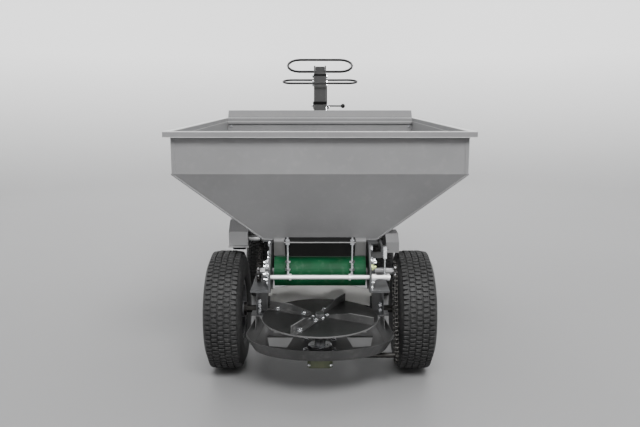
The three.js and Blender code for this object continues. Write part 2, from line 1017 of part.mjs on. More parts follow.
// Open A shaped yoke over the clevis pin, and the thin rod down to the lever.
function linkRod() {
  const half = yokeWidth / 2;
  const legGap = rodSleeveRadius;
  const depth = yokeDepth / 2;
  const low = clevisZ - yokeHeight;
  const block = box(
    linkX - legGap,
    linkX + legGap,
    clevisY - half,
    clevisY + half,
    low,
    clevisZ + half,
  );
  const window = box(
    linkX - legGap - overrun,
    linkX + legGap + overrun,
    clevisY - half + eyeWall,
    clevisY + half - eyeWall,
    low + eyeWall,
    clevisZ - depth,
  );
  const hole = bore(
    "x",
    crankPinRadius + gap,
    linkX - legGap - overrun,
    linkX + legGap + overrun,
    clevisY,
    armPivotZ,
    12,
  );
  const eyeTop = linkEndZ + crankPinRadius + eyeSlack + eyeWall;
  const thin = rod("z", linkRodRadius, eyeTop - overrun / 2, low + eyeWall / 2, linkX, clevisY, 10);
  const swing = crankSwing(leverLength);
  const back = swing.back + armReach * (1 - Math.cos(armSwing));
  const { eye, slot } = slottedEye(linkX, linkEndY, linkEndZ, { back, ahead: swing.ahead });
  part("gate_link_rod", cut(join(block, thin, eye), window, hole, slot), paint.zinc);
}

function gateGear() {
  gate();
  part("gate_rod_left", gateRod(-1), paint.zinc);
  part("gate_rod_right", gateRod(1), paint.zinc);
  crossShaft();
  gateArm();
  linkRod();
}

// Carcass of a tyre as a revolved profile, lying along X round its own centre.
function carcass(radius, width, beadRadius, sides, groove = []) {
  const half = width / 2;
  const depth = radius - beadRadius;
  const profileShares = [
    [0, 0.82],
    [0.28, 0.99],
    [0.56, 1],
    [0.8, 0.9],
    [0.94, 0.73],
    [1, 0.5],
  ];
  const right = profileShares.map(([up, out]) => [beadRadius + up * depth, out * half]);
  const left = right.map(([r, x]) => [r, -x]).reverse();
  return turned([...right, ...groove, ...left, right[0]], sides);
}

// One row of tread blocks: a toothed ring whose valleys lie inside the carcass.
function treadRow(x0, x1, outer, inner, turn) {
  const blockShare = 0.64;
  const shape = new THREE.Shape();
  for (let i = 0; i < treadPitches; i++) {
    const corners = [
      [i, inner],
      [i, outer],
      [i + blockShare, outer],
      [i + blockShare, inner],
    ];
    for (const [step, reach] of corners) {
      const angle = (2 * Math.PI * (step + turn)) / treadPitches;
      const point = [reach * Math.cos(angle), reach * Math.sin(angle)];
      if (i === 0 && step === 0 && reach === inner) shape.moveTo(...point);
      else shape.lineTo(...point);
    }
  }
  const outline = shape.getPoints().map((p) => [p.x, p.y]);
  return slabYZ(outline, x0, x1);
}

function rearTyre() {
  const bead = rearRimRadius + gap;
  const base = carcass(rearTyreRadius - treadDepth, rearTyreWidth, bead, treadPitches);
  const rowShare = 0.82;
  const treadWidth = rearTyreWidth * 0.78;
  const pitch = treadWidth / treadRows;
  const rows = [];
  for (let i = 0; i < treadRows; i++) {
    const centre = (i - (treadRows - 1) / 2) * pitch;
    const edge = i === 0 || i === treadRows - 1;
    const outer = rearTyreRadius - (edge ? 0.9 * treadDepth : 0);
    const half = (pitch * rowShare) / 2;
    const inner = rearTyreRadius - 3 * treadDepth;
    rows.push(treadRow(centre - half, centre + half, outer, inner, i % 2 ? 0.5 : 0));
  }
  const hole = rod("x", bead, -rearTyreWidth, rearTyreWidth, 0, 0, treadPitches);
  return cut(join(base, ...rows), hole);
}

function frontTyre() {
  const grooveShare = 0.22;
  const groove = [];
  for (const share of [grooveShare, -grooveShare]) {
    const centre = share * frontTyreWidth;
    const half = treadDepth / 3;
    const floor = frontTyreRadius - treadDepth / 2;
    groove.push(
      [frontTyreRadius, centre + half],
      [floor, centre + half],
      [floor, centre - half],
      [frontTyreRadius, centre - half],
    );
  }
  return carcass(frontTyreRadius, frontTyreWidth, frontRimRadius + gap, frontSides, groove);
}

// A pressed wheel: dished disc, drop centre barrel with flanges, and the hub tube.
function rim(radius, width, boreRadius, hubLength, sides) {
  const half = 0.4 * width;
  const outer = radius - gap;
  const barrel = 0.88 * outer;
  const hub = 2 * boreRadius;
  const dish = 0.4 * half;
  const points = [
    [boreRadius, -hubLength / 2],
    [hub, -hubLength / 2],
    [hub, dish - sheet],
    [barrel - sheet, dish - sheet],
    [barrel - sheet, -half],
    [outer, -half],
    [barrel, -half + 6 * sheet],
    [barrel, half - 6 * sheet],
    [outer, half],
    [barrel - sheet, half],
    [barrel - sheet, dish],
    [hub, dish + sheet],
    [hub, hubLength / 2],
    [boreRadius, hubLength / 2],
    [boreRadius, -hubLength / 2],
  ];
  return turned(points, sides);
}

function placed(whole, x, y, z) {
  return whole.translate([x, y, z]);
}

function wheels() {
  const rearBore = axleRadius + gap;
  const tyre = rearTyre();
  const wheel = rim(rearRimRadius, rearTyreWidth, rearBore, rearTyreWidth - 4 * overrun, treadPitches);
  for (const [side, name] of [
    [1, "right"],
    [-1, "left"],
  ]) {
    const x = side * rearWheelX;
    const turnedTyre = side > 0 ? tyre : mirroredX(tyre);
    const turnedRim = side > 0 ? wheel : mirroredX(wheel);
    part("rear_tyre_" + name, placed(turnedTyre, x, 0, rearTyreRadius), paint.rubber);
    part("rear_rim_" + name, placed(turnedRim, x, 0, rearTyreRadius), paint.rim);
  }
  const small = frontTyre();
  const smallRim = rim(frontRimRadius, frontTyreWidth, rearBore, frontTyreWidth - 2 * overrun, frontSides);
  for (const [side, name] of [
    [1, "right"],
    [-1, "left"],
  ]) {
    const x = side * frontWheelX;
    const turnedTyre = side > 0 ? small : mirroredX(small);
    const turnedRim = side > 0 ? smallRim : mirroredX(smallRim);
    part("front_tyre_" + name, placed(turnedTyre, x, frontAxleY, frontTyreRadius), paint.rubber);
    part("front_rim_" + name, placed(turnedRim, x, frontAxleY, frontTyreRadius), paint.rim);
  }
}

// Straight axle through both rear wheels, with collars inside them and washers outside.
function rearAxle() {
  const hubHalf = rearTyreWidth / 2 - 2 * overrun;
  const inside = rearWheelX - hubHalf - gap;
  const outside = rearWheelX + hubHalf + gap;
  const pieces = [rod("x", axleRadius, -outside - 2 * sheet, outside + 2 * sheet, 0, rearTyreRadius)];
  for (const side of [-1, 1]) {
    const spans = [
      [side * (inside - 3 * sheet), side * inside],
      [side * outside, side * (outside + 2 * sheet)],
    ];
    for (const [a, b] of spans)
      pieces.push(rod("x", 1.8 * axleRadius, Math.min(a, b), Math.max(a, b), 0, rearTyreRadius));
  }
  part("rear_axle", join(...pieces), paint.steel);
}

// Hanger plate from the side plate's flank down to the axle, with a clamp boss.
function axleBrackets() {
  const x0 = axleBracketX - plate / 2;
  const x1 = axleBracketX + plate / 2;
  const half = axleBracketWidth / 2;
  const low = rearTyreRadius - 2.4 * axleRadius;
  const foot = framePlateX + plate / 2 + gap;
  const shiftY = footFlangeFront + half + overrun;
  const outline = [
    [-2 * axleRadius, low],
    [2 * axleRadius, low],
    [shiftY + half, framePlateBottom + plate],
    [shiftY + half, framePlateBottom + crossTube],
    [shiftY - half, framePlateBottom + crossTube],
    [shiftY - half, framePlateBottom - crossTube / 2],
    [-2 * axleRadius, rearTyreRadius + 1.4 * axleRadius],
  ];
  const boss = rod("x", 1.7 * axleRadius, x0 - plate, x1 + plate, 0, rearTyreRadius);
  const pad = box(
    foot,
    x0 + overrun / 2,
    shiftY - half,
    shiftY + half,
    framePlateBottom + plate,
    framePlateBottom + crossTube,
  );
  const hole = bore("x", axleRadius + gap, x0 - crossTube, x1 + crossTube, 0, rearTyreRadius);
  pair("axle_bracket", cut(join(slabYZ(outline, x0, x1), boss, pad), hole), paint.frame);
}

// Drive on the left: shaft with its friction roller over the tyre, bearing, chain, cover, mudguard.
function driveLeft() {
  const face = -(framePlateX + plate / 2 + gap);
  const shaft = rod("x", driveShaftRadius, driveShaftLeft, face - gap, driveY, driveZ);
  const shaftSprocket = sprocket(leftChainX, driveY, driveZ, 0.8 * sprocketSmallRadius);
  part("drive_shaft", join(shaft, shaftSprocket), paint.steel);
  const rollerLeft = -coverLeftOuter + 3 * sheet;
  const drum = rod("x", frictionRadius, rollerLeft, rollerLeft + frictionWidth, driveY, driveZ, 20);
  const drumBore = bore(
    "x",
    driveShaftRadius + gap,
    rollerLeft - overrun,
    rollerLeft + frictionWidth + overrun,
    driveY,
    driveZ,
  );
  part("friction_roller", cut(drum, drumBore), paint.rubber);
}

// A folded cover: upright rear face, sloped front of the roof, closed outer side, open below and inside.
function cover(x0, x1, rear, front, bottom, top) {
  const rise = top - bottom;
  const outline = [
    [rear, bottom],
    [front, bottom],
    [front, top],
    [rear + 0.55 * rise, top],
    [rear, bottom + 0.6 * rise],
  ];
  const inside = [
    [rear + sheet, bottom - overrun],
    [front - sheet, bottom - overrun],
    [front - sheet, top - sheet],
    [rear + 0.55 * rise + sheet / 2, top - sheet],
    [rear + sheet, bottom + 0.6 * rise - sheet / 2],
  ];
  return cut(slabYZ(outline, x0, x1), slabYZ(inside, x0 + sheet, x1 + overrun));
}

function covers() {
  const left = cover(
    -coverLeftOuter,
    -coverLeftInner,
    coverLeftRear,
    coverLeftFront,
    coverLeftBottom,
    coverLeftTop,
  );
  part("drive_cover_left", left, paint.hopper);
  const right = mirroredX(
    cover(
      -coverRightOuter,
      -coverRightInner,
      coverRightRear,
      coverRightFront,
      coverRightBottom,
      coverRightTop,
    ),
  );
  const face = framePlateX + plate / 2 + gap;
  const low = coverRightBottom - crossTube;
  const arm = box(
    face,
    coverRightInner + 2 * sheet,
    coverRightFront - sheet,
    coverRightFront,
    low,
    low + crossTube / 2,
  );
  const riser = box(
    coverRightInner,
    coverRightInner + 2 * sheet,
    coverRightFront - sheet,
    coverRightFront,
    low,
    coverRightBottom + sheet,
  );
  part("drive_cover_right", join(right, arm, riser), paint.hopper);
}

function mudguard() {
  const face = framePlateX + plate / 2 + gap;
  const top = mudguardBottom + sheet;
  const deck = box(
    -mudguardOuter,
    -coverLeftInner + overrun,
    mudguardRear,
    mudguardFront,
    mudguardBottom,
    top,
  );
  const tie = box(
    -coverLeftInner,
    -face,
    mudguardFront - crossTube / 2,
    mudguardFront,
    mudguardBottom,
    top,
  );
  const tab = box(
    -face - sheet,
    -face,
    mudguardFront - crossTube / 2,
    mudguardFront,
    mudguardBottom,
    framePlateTop - plate - gap,
  );
  const opening = box(
    -coverLeftOuter + 2 * sheet,
    -coverLeftInner - 2 * sheet,
    driveY - frictionRadius - sheet,
    driveY + frictionRadius + sheet,
    mudguardBottom - overrun,
    top + overrun,
  );
  part("mudguard_left", cut(join(deck, tie, tab), opening), paint.frame);
}

function chains() {
  const half = chainWidth / 2;
  const leftRun = [
    rearRollerY,
    rollerZ,
    sprocketLargeRadius + gap,
    driveY,
    driveZ,
    0.8 * sprocketSmallRadius + gap,
  ];
  part(
    "conveyor_chain",
    band(...leftRun, chainThickness, leftChainX - half, leftChainX + half, 6),
    paint.steel,
  );
  const rightRun = [
    rearRollerY,
    rollerZ,
    sprocketLargeRadius + gap,
    spinnerY,
    inputShaftZ(),
    sprocketSmallRadius + gap,
  ];
  part(
    "spinner_chain",
    band(...rightRun, chainThickness, rightChainX - half, rightChainX + half, 6),
    paint.steel,
  );
}

function inputShaftZ() {
  return panZ - gearHousingHeight / 2;
}

// Spinner: disc with hub, four bent vanes, and the upright shaft.
function spinner() {
  const disc = rod("z", discRadius, discZ - discThickness, discZ, 0, spinnerY, 40);
  const hole = bore(
    "z",
    spinnerShaftRadius + gap,
    discZ - hubHeight - overrun,
    discZ + overrun,
    0,
    spinnerY,
  );
  const hub = rod("z", hubRadius, discZ - hubHeight, discZ - discThickness / 2, 0, spinnerY, 20);
  part("spinner_disc", cut(join(disc, hub), hole), paint.frame);
  const lift = discZ + gap;
  for (let i = 0; i < 4; i++) {
    const wall = box(vaneInner, discRadius, 0, vaneThickness, lift, lift + vaneHeight);
    const foot = box(vaneInner, discRadius, 0, vaneFoot, lift, lift + vaneThickness);
    const bevel = slabXZ(
      [
        [vaneInner - overrun, lift + vaneInnerHeight],
        [vaneShoulder, lift + vaneHeight],
        [vaneShoulder, lift + vaneHeight + overrun],
        [vaneInner - overrun, lift + vaneHeight + overrun],
      ],
      -overrun,
      vaneThickness + overrun,
    );
    const boltShares = [0.14, 0.78];
    const bolts = boltShares.map((share) => {
      const x = vaneInner + share * (discRadius - vaneInner);
      const top = lift + vaneThickness + boltHeight;
      return rod("z", boltRadius + 1.2 * gap, lift, top, x, vaneFoot / 2 + sheet / 2, 6);
    });
    const vane = join(cut(join(wall, foot), bevel), ...bolts);
    const turn = vaneTurn + (i * Math.PI) / 2;
    const turnedVane = vane.rotate([0, 0, THREE.MathUtils.radToDeg(turn)]);
    part("spinner_vane_" + (i + 1), placed(turnedVane, 0, spinnerY, 0), paint.frame);
  }
  const shaftTop = discZ + 3 * sheet;
  const shaft = rod(
    "z",
    spinnerShaftRadius,
    panZ - spinnerShaftDepth,
    shaftTop,
    0,
    spinnerY,
  );
  const collar = rod(
    "z",
    1.6 * spinnerShaftRadius,
    panZ + plate + bearingCapHeight + gap,
    discZ - hubHeight - gap,
    0,
    spinnerY,
  );
  const nut = rod("z", 1.5 * spinnerShaftRadius, discZ + gap, shaftTop, 0, spinnerY, 6);
  part("spinner_shaft", join(shaft, collar, nut), paint.zinc);
}

// An outline in X and Z, given thickness along Y.
function slabXZ(points, y0, y1) {
  const shape = new THREE.Shape(points.map(([x, z]) => new THREE.Vector2(x, z)));
  const geometry = new THREE.ExtrudeGeometry(shape, { depth: y1 - y0, bevelEnabled: false });
  geometry.rotateX(Math.PI / 2);
  geometry.translate(0, y1, 0);
  return solid(geometry);
}

// Curved shield in front of the spinner, with two hangers to the foot flanges.
function shield() {
  const shape = new THREE.Shape();
  const start = Math.PI / 2 - shieldHalfAngle;
  const end = Math.PI / 2 + shieldHalfAngle;
  shape.absarc(0, spinnerY, shieldRadius, start, end, false);
  shape.absarc(0, spinnerY, shieldRadius - sheet, end, start, true);
  shape.closePath();
  const wall = slabXY(shape, shieldBottom, shieldTop, 14);
  const endX = shieldRadius * Math.sin(shieldHalfAngle);
  const endY = spinnerY + shieldRadius * Math.cos(shieldHalfAngle);
  const inner = endX - 2 * sheet;
  const hangers = [-1, 1].map((side) => {
    const a = side * inner;
    const b = side * (inner + 2 * crossTube / 4);
    const spans = [Math.min(a, b), Math.max(a, b)];
    return box(
      ...spans,
      endY - sheet,
      endY + sheet,
      shieldTop - crossTube / 2,
      framePlateBottom - gap,
    );
  });
  part("spinner_shield", join(wall, ...hangers), paint.shield);
}

// Outline of the pan, drawn in by an inset: half an ellipse to the rear, sides that close in forwards.
function panOutline(inset) {
  const steps = 20;
  const points = [];
  for (let i = 0; i <= steps; i++) {
    const angle = Math.PI + (Math.PI * i) / steps;
    points.push([
      (panHalfWidth - inset) * Math.cos(angle),
      panMiddleY + (panReach - inset) * Math.sin(angle),
    ]);
  }
  points.push([panFrontHalfWidth - inset, panFrontY], [inset - panFrontHalfWidth, panFrontY]);
  return points;
}

// Tray under the spinner: flared walls, open towards the front, windows and a hole for the shaft.
function guardPan() {
  const top = panZ + panRim;
  const outer = loft(panOutline(panFlare), panZ, panOutline(0), top);
  const floorShare = plate / panRim;
  const rise = panRim + overrun;
  const spread = (panFlare * rise) / panRim;
  const inner = loft(
    panOutline(panFlare * (1 - floorShare) + sheet),
    panZ + plate,
    panOutline(panFlare - spread + sheet),
    panZ + rise,
  );
  const reach = 2 * panHalfWidth;
  const beyond = box(
    -reach,
    reach,
    panFrontY - sheet,
    panFrontY + overrun,
    panZ + plate,
    top + overrun,
  );
  const shaftHole = rod(
    "z",
    spinnerShaftRadius + panHoleClearance,
    panZ - overrun,
    panZ + plate + overrun,
    0,
    spinnerY,
  );
  const pan = cut(outer, inner, beyond, ...panWindows(), shaftHole);
  const lug = panLug();
  part("guard_pan", join(pan, lug, mirroredX(lug)), paint.frame);
}

// Bent lug that rises from the pan's right wall and carries the leg.
function panLug() {
  const half = legTube / 2;
  const wall = legX + half;
  const foot = panZ + 0.7 * panRim;
  const outline = [
    [legY - legTube, foot],
    [legY + legTube, foot],
    [legY + half, panLugTop],
    [legY - 1.5 * half, panLugTop],
  ];
  const upright = slabYZ(outline, wall, wall + sheet);
  const shelf = box(
    legX - half,
    wall + sheet,
    legY - 1.5 * half,
    legY + half,
    panLugTop - sheet,
    panLugTop,
  );
  return join(upright, shelf);
}

// Windows left and right of the hub plate, each a rounded quadrilateral.
function panWindows() {
  const windowShares = [
    [
      [0.36, 0.74],
      [0.74, 0.74],
      [0.68, 0.44],
      [0.44, 0.4],
    ],
    [
      [0.3, 0.96],
      [0.66, 0.96],
      [0.66, 0.84],
      [0.3, 0.84],
    ],
  ];
  const rear = panMiddleY - panReach;
  const made = [];
  for (const corners of windowShares)
    for (const side of [-1, 1]) {
      const points = corners.map(
        ([a, b]) =>
          new THREE.Vector2(side * a * panHalfWidth, rear + b * (panFrontY - panEdge - rear)),
      );
      if (side < 0) points.reverse();
      made.push(slabXY(new THREE.Shape(points), panZ - overrun, panZ + plate + overrun));
    }
  return made;
}

// Leg: a channel open to the rear, with head and foot plates and a slanting gusset in its mouth.
function leg() {
  const half = legTube / 2;
  const low = panLugTop + gap;
  const high = framePlateBottom - gap;
  const rear = legY - half;
  const channel = box(legX - half, legX + half, rear, legY + half, low, high);
  const hollow = box(
    legX - half + sheet,
    legX + half - sheet,
    rear - overrun,
    legY + half - sheet,
    low + sheet,
    high - plate,
  );
  const head = box(legX - half, legX + half, rear - half / 2, legY + 1.5 * half, high - plate, high);
  const foot = box(legX - half, legX + legFoot, rear - half / 2, legY + half, low, low + sheet);
  const inner = legX + half - sheet / 2;
  const gusset = slabXZ(
    [
      [inner, high - plate - legGusset],
      [inner, high - sheet],
      [inner - 0.7 * half, high - sheet],
    ],
    rear,
    rear + sheet,
  );
  return join(cut(channel, hollow), head, foot, gusset);
}

function legs() {
  pair("spinner_leg", leg(), paint.frame);
}

// Gear housing under the pan, with a round cap above the pan and four long bolts.
function gearBox() {
  const half = gearHousing / 2;
  const top = panZ - gap;
  const low = top - gearHousingHeight;
  const chamfer = half / 4;
  const shape = new THREE.Shape([
    new THREE.Vector2(-half + chamfer, spinnerY - half),
    new THREE.Vector2(half - chamfer, spinnerY - half),
    new THREE.Vector2(half, spinnerY - half + chamfer),
    new THREE.Vector2(half, spinnerY + half - chamfer),
    new THREE.Vector2(half - chamfer, spinnerY + half),
    new THREE.Vector2(-half + chamfer, spinnerY + half),
    new THREE.Vector2(-half, spinnerY + half - chamfer),
    new THREE.Vector2(-half, spinnerY - half + chamfer),
  ]);
  const housing = slabXY(shape, low, top);
  const neck = rod("x", 1.8 * inputShaftRadius, 0, half + 3 * sheet, spinnerY, inputShaftZ());
  const shaftBore = bore(
    "x",
    inputShaftRadius + gap,
    half - 4 * sheet,
    half + crossTube,
    spinnerY,
    inputShaftZ(),
  );
  const well = bore(
    "z",
    spinnerShaftRadius + gap,
    panZ - spinnerShaftDepth - gap,
    top + overrun,
    0,
    spinnerY,
  );
  part("gear_housing", cut(join(housing, neck), shaftBore, well), paint.housing);
  const capLow = panZ + plate + gap;
  const cap = rod("z", bearingCapRadius, capLow, capLow + bearingCapHeight - gap, 0, spinnerY, 16);
  const capBore = bore(
    "z",
    spinnerShaftRadius + gap,
    capLow - overrun,
    capLow + bearingCapHeight + overrun,
    0,
    spinnerY,
  );
  part("spinner_bearing", cut(cap, capBore), paint.zinc);
  const shaft = rod(
    "x",
    inputShaftRadius,
    half - 3 * sheet,
    rightChainX + sprocketThickness,
    spinnerY,
    inputShaftZ(),
  );
  const wheel = sprocket(rightChainX, spinnerY, inputShaftZ(), sprocketSmallRadius);
  part("spinner_input_shaft", join(shaft, wheel), paint.steel);
}

// Steered axle: beam, head tube, turntable plate, kingpin and the tongue that carries the drawbar.
function frontAxle() {
  const halfBeam = frontBeamWidth / 2;
  const hubHalf = frontTyreWidth / 2 - overrun;
  const inside = frontWheelX - hubHalf - gap;
  const outside = frontWheelX + hubHalf + gap;
  const beamLow = frontTyreRadius - halfBeam;
  const beam = box(
    -inside + overrun,
    inside - overrun,
    frontAxleY - halfBeam,
    frontAxleY + halfBeam,
    beamLow,
    frontTyreRadius + halfBeam,
  );
  const spindle = rod(
    "x",
    axleRadius,
    -outside - 2 * sheet,
    outside + 2 * sheet,
    frontAxleY,
    frontTyreRadius,
  );
  const washers = [-1, 1].map((side) => {
    const a = side * outside;
    const b = side * (outside + 2 * sheet);
    return rod("x", 1.8 * axleRadius, Math.min(a, b), Math.max(a, b), frontAxleY, frontTyreRadius);
  });
  const tableTop = noseBottom - gap;
  const head = rod("z", headRadius, frontTyreRadius, tableTop - plate / 2, 0, frontAxleY, 14);
  const table = rod("z", turntableRadius, tableTop - plate, tableTop, 0, frontAxleY, 24);
  const kingpin = rod("z", kingpinRadius, tableTop - plate, noseBottom + plate + gap, 0, frontAxleY);
  const nut = rod(
    "z",
    1.6 * kingpinRadius,
    noseBottom + plate + gap,
    noseBottom + plate + gap + 3 * sheet,
    0,
    frontAxleY,
    6,
  );
  const tongueEnd = frontAxleY + tongueLength;
  const tongueHalf = postWidth / 2 + gap + earThickness;
  const tongue = box(
    -tongueHalf,
    tongueHalf,
    frontAxleY + halfBeam - overrun,
    tongueEnd - postWidth,
    frontTyreRadius - halfBeam,
    frontTyreRadius + halfBeam,
  );
  const ears = [-1, 1].map((side) => {
    const a = side * (postWidth / 2 + gap);
    const b = side * tongueHalf;
    const outline = [
      [tongueEnd - postWidth - overrun, frontTyreRadius - halfBeam],
      [tongueEnd - postWidth / 3, frontTyreRadius - halfBeam],
      [tongueEnd + 2 * pivotRadius, drawbarPivotZ - pivotRadius],
      [tongueEnd + 2 * pivotRadius, drawbarPivotZ + 2 * pivotRadius],
      [tongueEnd - 2 * pivotRadius, drawbarPivotZ + 2 * pivotRadius],
      [tongueEnd - postWidth - overrun, frontTyreRadius + halfBeam],
    ];
    return slabYZ(outline, Math.min(a, b), Math.max(a, b));
  });
  const pin = rod("x", pivotRadius, -tongueHalf - sheet, tongueHalf + sheet, tongueEnd, drawbarPivotZ);
  const whole = join(beam, spindle, ...washers, head, table, kingpin, nut, tongue, ...ears, pin);
  part("front_axle", whole, paint.frame);
}

// Struts from the side plates' nose up to the hopper's front slope.
function struts() {
  const half = crossTube / 2;
  const x0 = framePlateX - half + plate / 2;
  const slope = (y) => {
    const foot = outletRear + outletLength;
    const run = rimRear + rimLength - rimLip - foot;
    const rise = rimTop - boxHeight - outletTop;
    return outletTop + ((y - foot) * rise) / run;
  };
  const rear = strutY - half;
  const front = strutY + half;
  const lean = gap * 2;
  const outline = [
    [rear, framePlateTop + gap],
    [front, framePlateTop + gap],
    [front, slope(front) - lean],
    [rear, slope(rear) - lean],
  ];
  pair("hopper_strut", slabYZ(outline, x0, x0 + crossTube), paint.frame);
}

// Drawbar: a leaning group round the pivot, whose own Z runs along the post.
function drawbar() {
  const bar = new THREE.Group();
  bar.position.set(0, frontAxleY + tongueLength, drawbarPivotZ);
  bar.rotation.x = -drawbarLean;
  machine.add(bar);
  const half = postWidth / 2;
  const post = box(-half, half, -half, half, -half, postLength);
  const hollow = box(
    -half + postWall,
    half - postWall,
    -half + postWall,
    half - postWall,
    2 * pivotRadius + postWall,
    postLength - postWall,
  );
  const slot = box(
    -half + postWall,
    half - postWall,
    half - 2 * postWall,
    half + overrun,
    3 * postWidth,
    4 * postWidth,
  );
  const hole = bore("x", pivotRadius + gap, -postWidth, postWidth, 0, 0);
  const bailBore = bore("x", bailTube + gap, -postWidth, postWidth, 0, bailAlong);
  // Fork head, between whose cheeks the loop handle turns.
  const forkLow = postLength - postWall;
  const forkTop = forkLow + forkHeight;
  const cheek = postWall + sheet;
  const block = box(-half, half, -half + postWall, half - postWall, forkLow, forkTop);
  const between = box(
    -half + cheek,
    half - cheek,
    -postWidth,
    postWidth,
    forkLow + postWall,
    forkTop + overrun,
  );
  const handleAlong = forkTop - handleDrop / 2;
  const forkBore = bore("x", handleTube + gap, -postWidth, postWidth, 0, handleAlong);
  const fork = cut(block, between, forkBore);
  const tube = cut(post, hollow, slot, hole, bailBore);
  part("drawbar_post", join(tube, fork), paint.frame, bar);
  handleLoop(bar, handleAlong);
  bailLoop(bar);
  controls(bar);
}

// A flat oval loop of round bar: two half circles joined by straight sides.
function ovalSolid(width, depth, radius, along, tilt, offset) {
  const arcSteps = 8;
  const sides = 8;
  const bend = depth / 2;
  const straight = width / 2 - bend;
  const ring = [];
  for (const end of [1, -1])
    for (let i = 0; i <= arcSteps; i++) {
      const turn = Math.PI * (i / arcSteps - 0.5);
      const outX = end * Math.cos(turn);
      const outY = end * Math.sin(turn);
      for (let j = 0; j < sides; j++) {
        const angle = (2 * Math.PI * j) / sides;
        const reach = bend + radius * Math.cos(angle);
        ring.push(end * straight + outX * reach, outY * reach + offset, radius * Math.sin(angle));
      }
    }
  const count = 2 * (arcSteps + 1);
  const faces = [];
  for (let i = 0; i < count; i++)
    for (let j = 0; j < sides; j++) {
      const a = i * sides + j;
      const b = i * sides + ((j + 1) % sides);
      const c = ((i + 1) % count) * sides + j;
      const d = ((i + 1) % count) * sides + ((j + 1) % sides);
      faces.push(a, c, b, b, c, d);
    }
  const geometry = new THREE.BufferGeometry();
  geometry.setAttribute("position", new THREE.Float32BufferAttribute(ring, 3));
  geometry.setIndex(faces);
  geometry.rotateX(tilt);
  geometry.translate(0, 0, along);
  const made = solid(geometry);
  if (made.volume() > 0) return made;
  geometry.index.array.reverse();
  return solid(geometry);
}

// Loop handle, whose near side lies in the fork.
function handleLoop(bar, along) {
  const loop = ovalSolid(handleWidth, handleDepth, handleTube, along, handleTilt, handleDepth / 2);
  part("loop_handle", loop, paint.black, bar);
}

// Bail, open at the post, with its two ends in holes in the post's side walls.
function bailLoop(bar) {
  const inside = postWidth / 2 - postWall;
  const loop = ovalSolid(bailWidth, bailDepth, bailTube, bailAlong, bailTilt, -bailDepth / 2);
  const opening = box(
    -inside,
    inside,
    -2 * bailTube,
    2 * bailTube,
    bailAlong - 2 * bailTube,
    bailAlong + 2 * bailTube,
  );
  part("bail_loop", cut(loop, opening), paint.black, bar);
}

// Small control lever with its ball, and the cable clipped down the right face of the post.
function controls(bar) {
  const half = postWidth / 2;
  const face = half + gap;
  const plateHalf = 1.3 * knobRadius;
  const bracket = box(
    face,
    face + sheet,
    -plateHalf,
    plateHalf,
    leverAlong - 2 * plateHalf,
    leverAlong + plateHalf,
  );
  const stud = rod("x", boltRadius, face, face + 5 * sheet, 0, leverAlong, 10);
  part("lever_bracket", join(bracket, stud), paint.zinc, bar);
  const hubFrom = face + sheet + gap;
  const hubTo = hubFrom + 3 * sheet;
  const hub = rod("x", 1.8 * boltRadius, hubFrom, hubTo, 0, leverAlong, 14);
  const hubBore = bore("x", boltRadius + gap, hubFrom - overrun, hubTo + overrun, 0, leverAlong, 10);
  const stem = rod(
    "x",
    0.8 * boltRadius,
    hubTo - overrun / 2,
    hubTo + driveLeverLength,
    0,
    leverAlong + 1.3 * boltRadius,
    8,
  );
  const ball = solid(new THREE.SphereGeometry(knobRadius, 12, 8)).translate([
    hubTo + driveLeverLength + knobRadius / 2,
    0,
    leverAlong + 1.3 * boltRadius,
  ]);
  const stemHole = bore(
    "x",
    0.8 * boltRadius + gap,
    hubTo,
    hubTo + driveLeverLength + gap,
    0,
    leverAlong + 1.3 * boltRadius,
    8,
  );
  part("drive_lever", cut(join(hub, stem), hubBore), paint.zinc, bar);
  part("lever_knob", cut(ball, stemHole), paint.black, bar);
  const cableX = half + gap + cableRadius;
  const route = new THREE.CatmullRomCurve3([
    new THREE.Vector3(cableX, half - 3 * cableRadius, bailAlong - 4 * bailTube),
    new THREE.Vector3(cableX, half - 3 * cableRadius, bailAlong - 12 * bailTube),
    new THREE.Vector3(cableX, half - 3 * cableRadius, leverAlong - 2 * crossTube),
    new THREE.Vector3(cableX, 0, leverAlong - 4 * crossTube),
    new THREE.Vector3(cableX, 0, 3 * crossTube),
  ]);
  part("control_cable", bentBar(route, cableRadius, 14, 8), paint.black, bar);
}

hopper();
frontApron();
framePlates();
crossMembers();
kingpinPlate();
beltBed();
belt();
rollers();
bearings();
gateGear();
wheels();
rearAxle();
axleBrackets();
driveLeft();
covers();
mudguard();
chains();
spinner();
shield();
guardPan();
legs();
gearBox();
frontAxle();
struts();
drawbar();

// The origin lies on the ground under the middle of the whole machine.
machine.updateMatrixWorld(true);
const extent = new THREE.Box3().setFromObject(machine);
machine.position.y = -(extent.min.y + extent.max.y) / 2;

export default machine;
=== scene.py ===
# %% [markdown]
# # A lawn topdresser, dressed for the camera
#
# This machine spreads sand over a lawn. Sand lies in a funnel hopper, a belt under it carries the
# sand to the rear, a gate sets how thick the layer is, and a disc with vanes throws it out.
# The exact solids come from the CAD model. This lesson gives them their finishes, and adds what is
# too small or too many for the CAD model: bolts, weld beads, threads, chain links and tyre blocks.

# %% Load the solids
import math

import bmesh
import bpy
from mathutils import Matrix, Quaternion, Vector
from mathutils.bvhtree import BVHTree


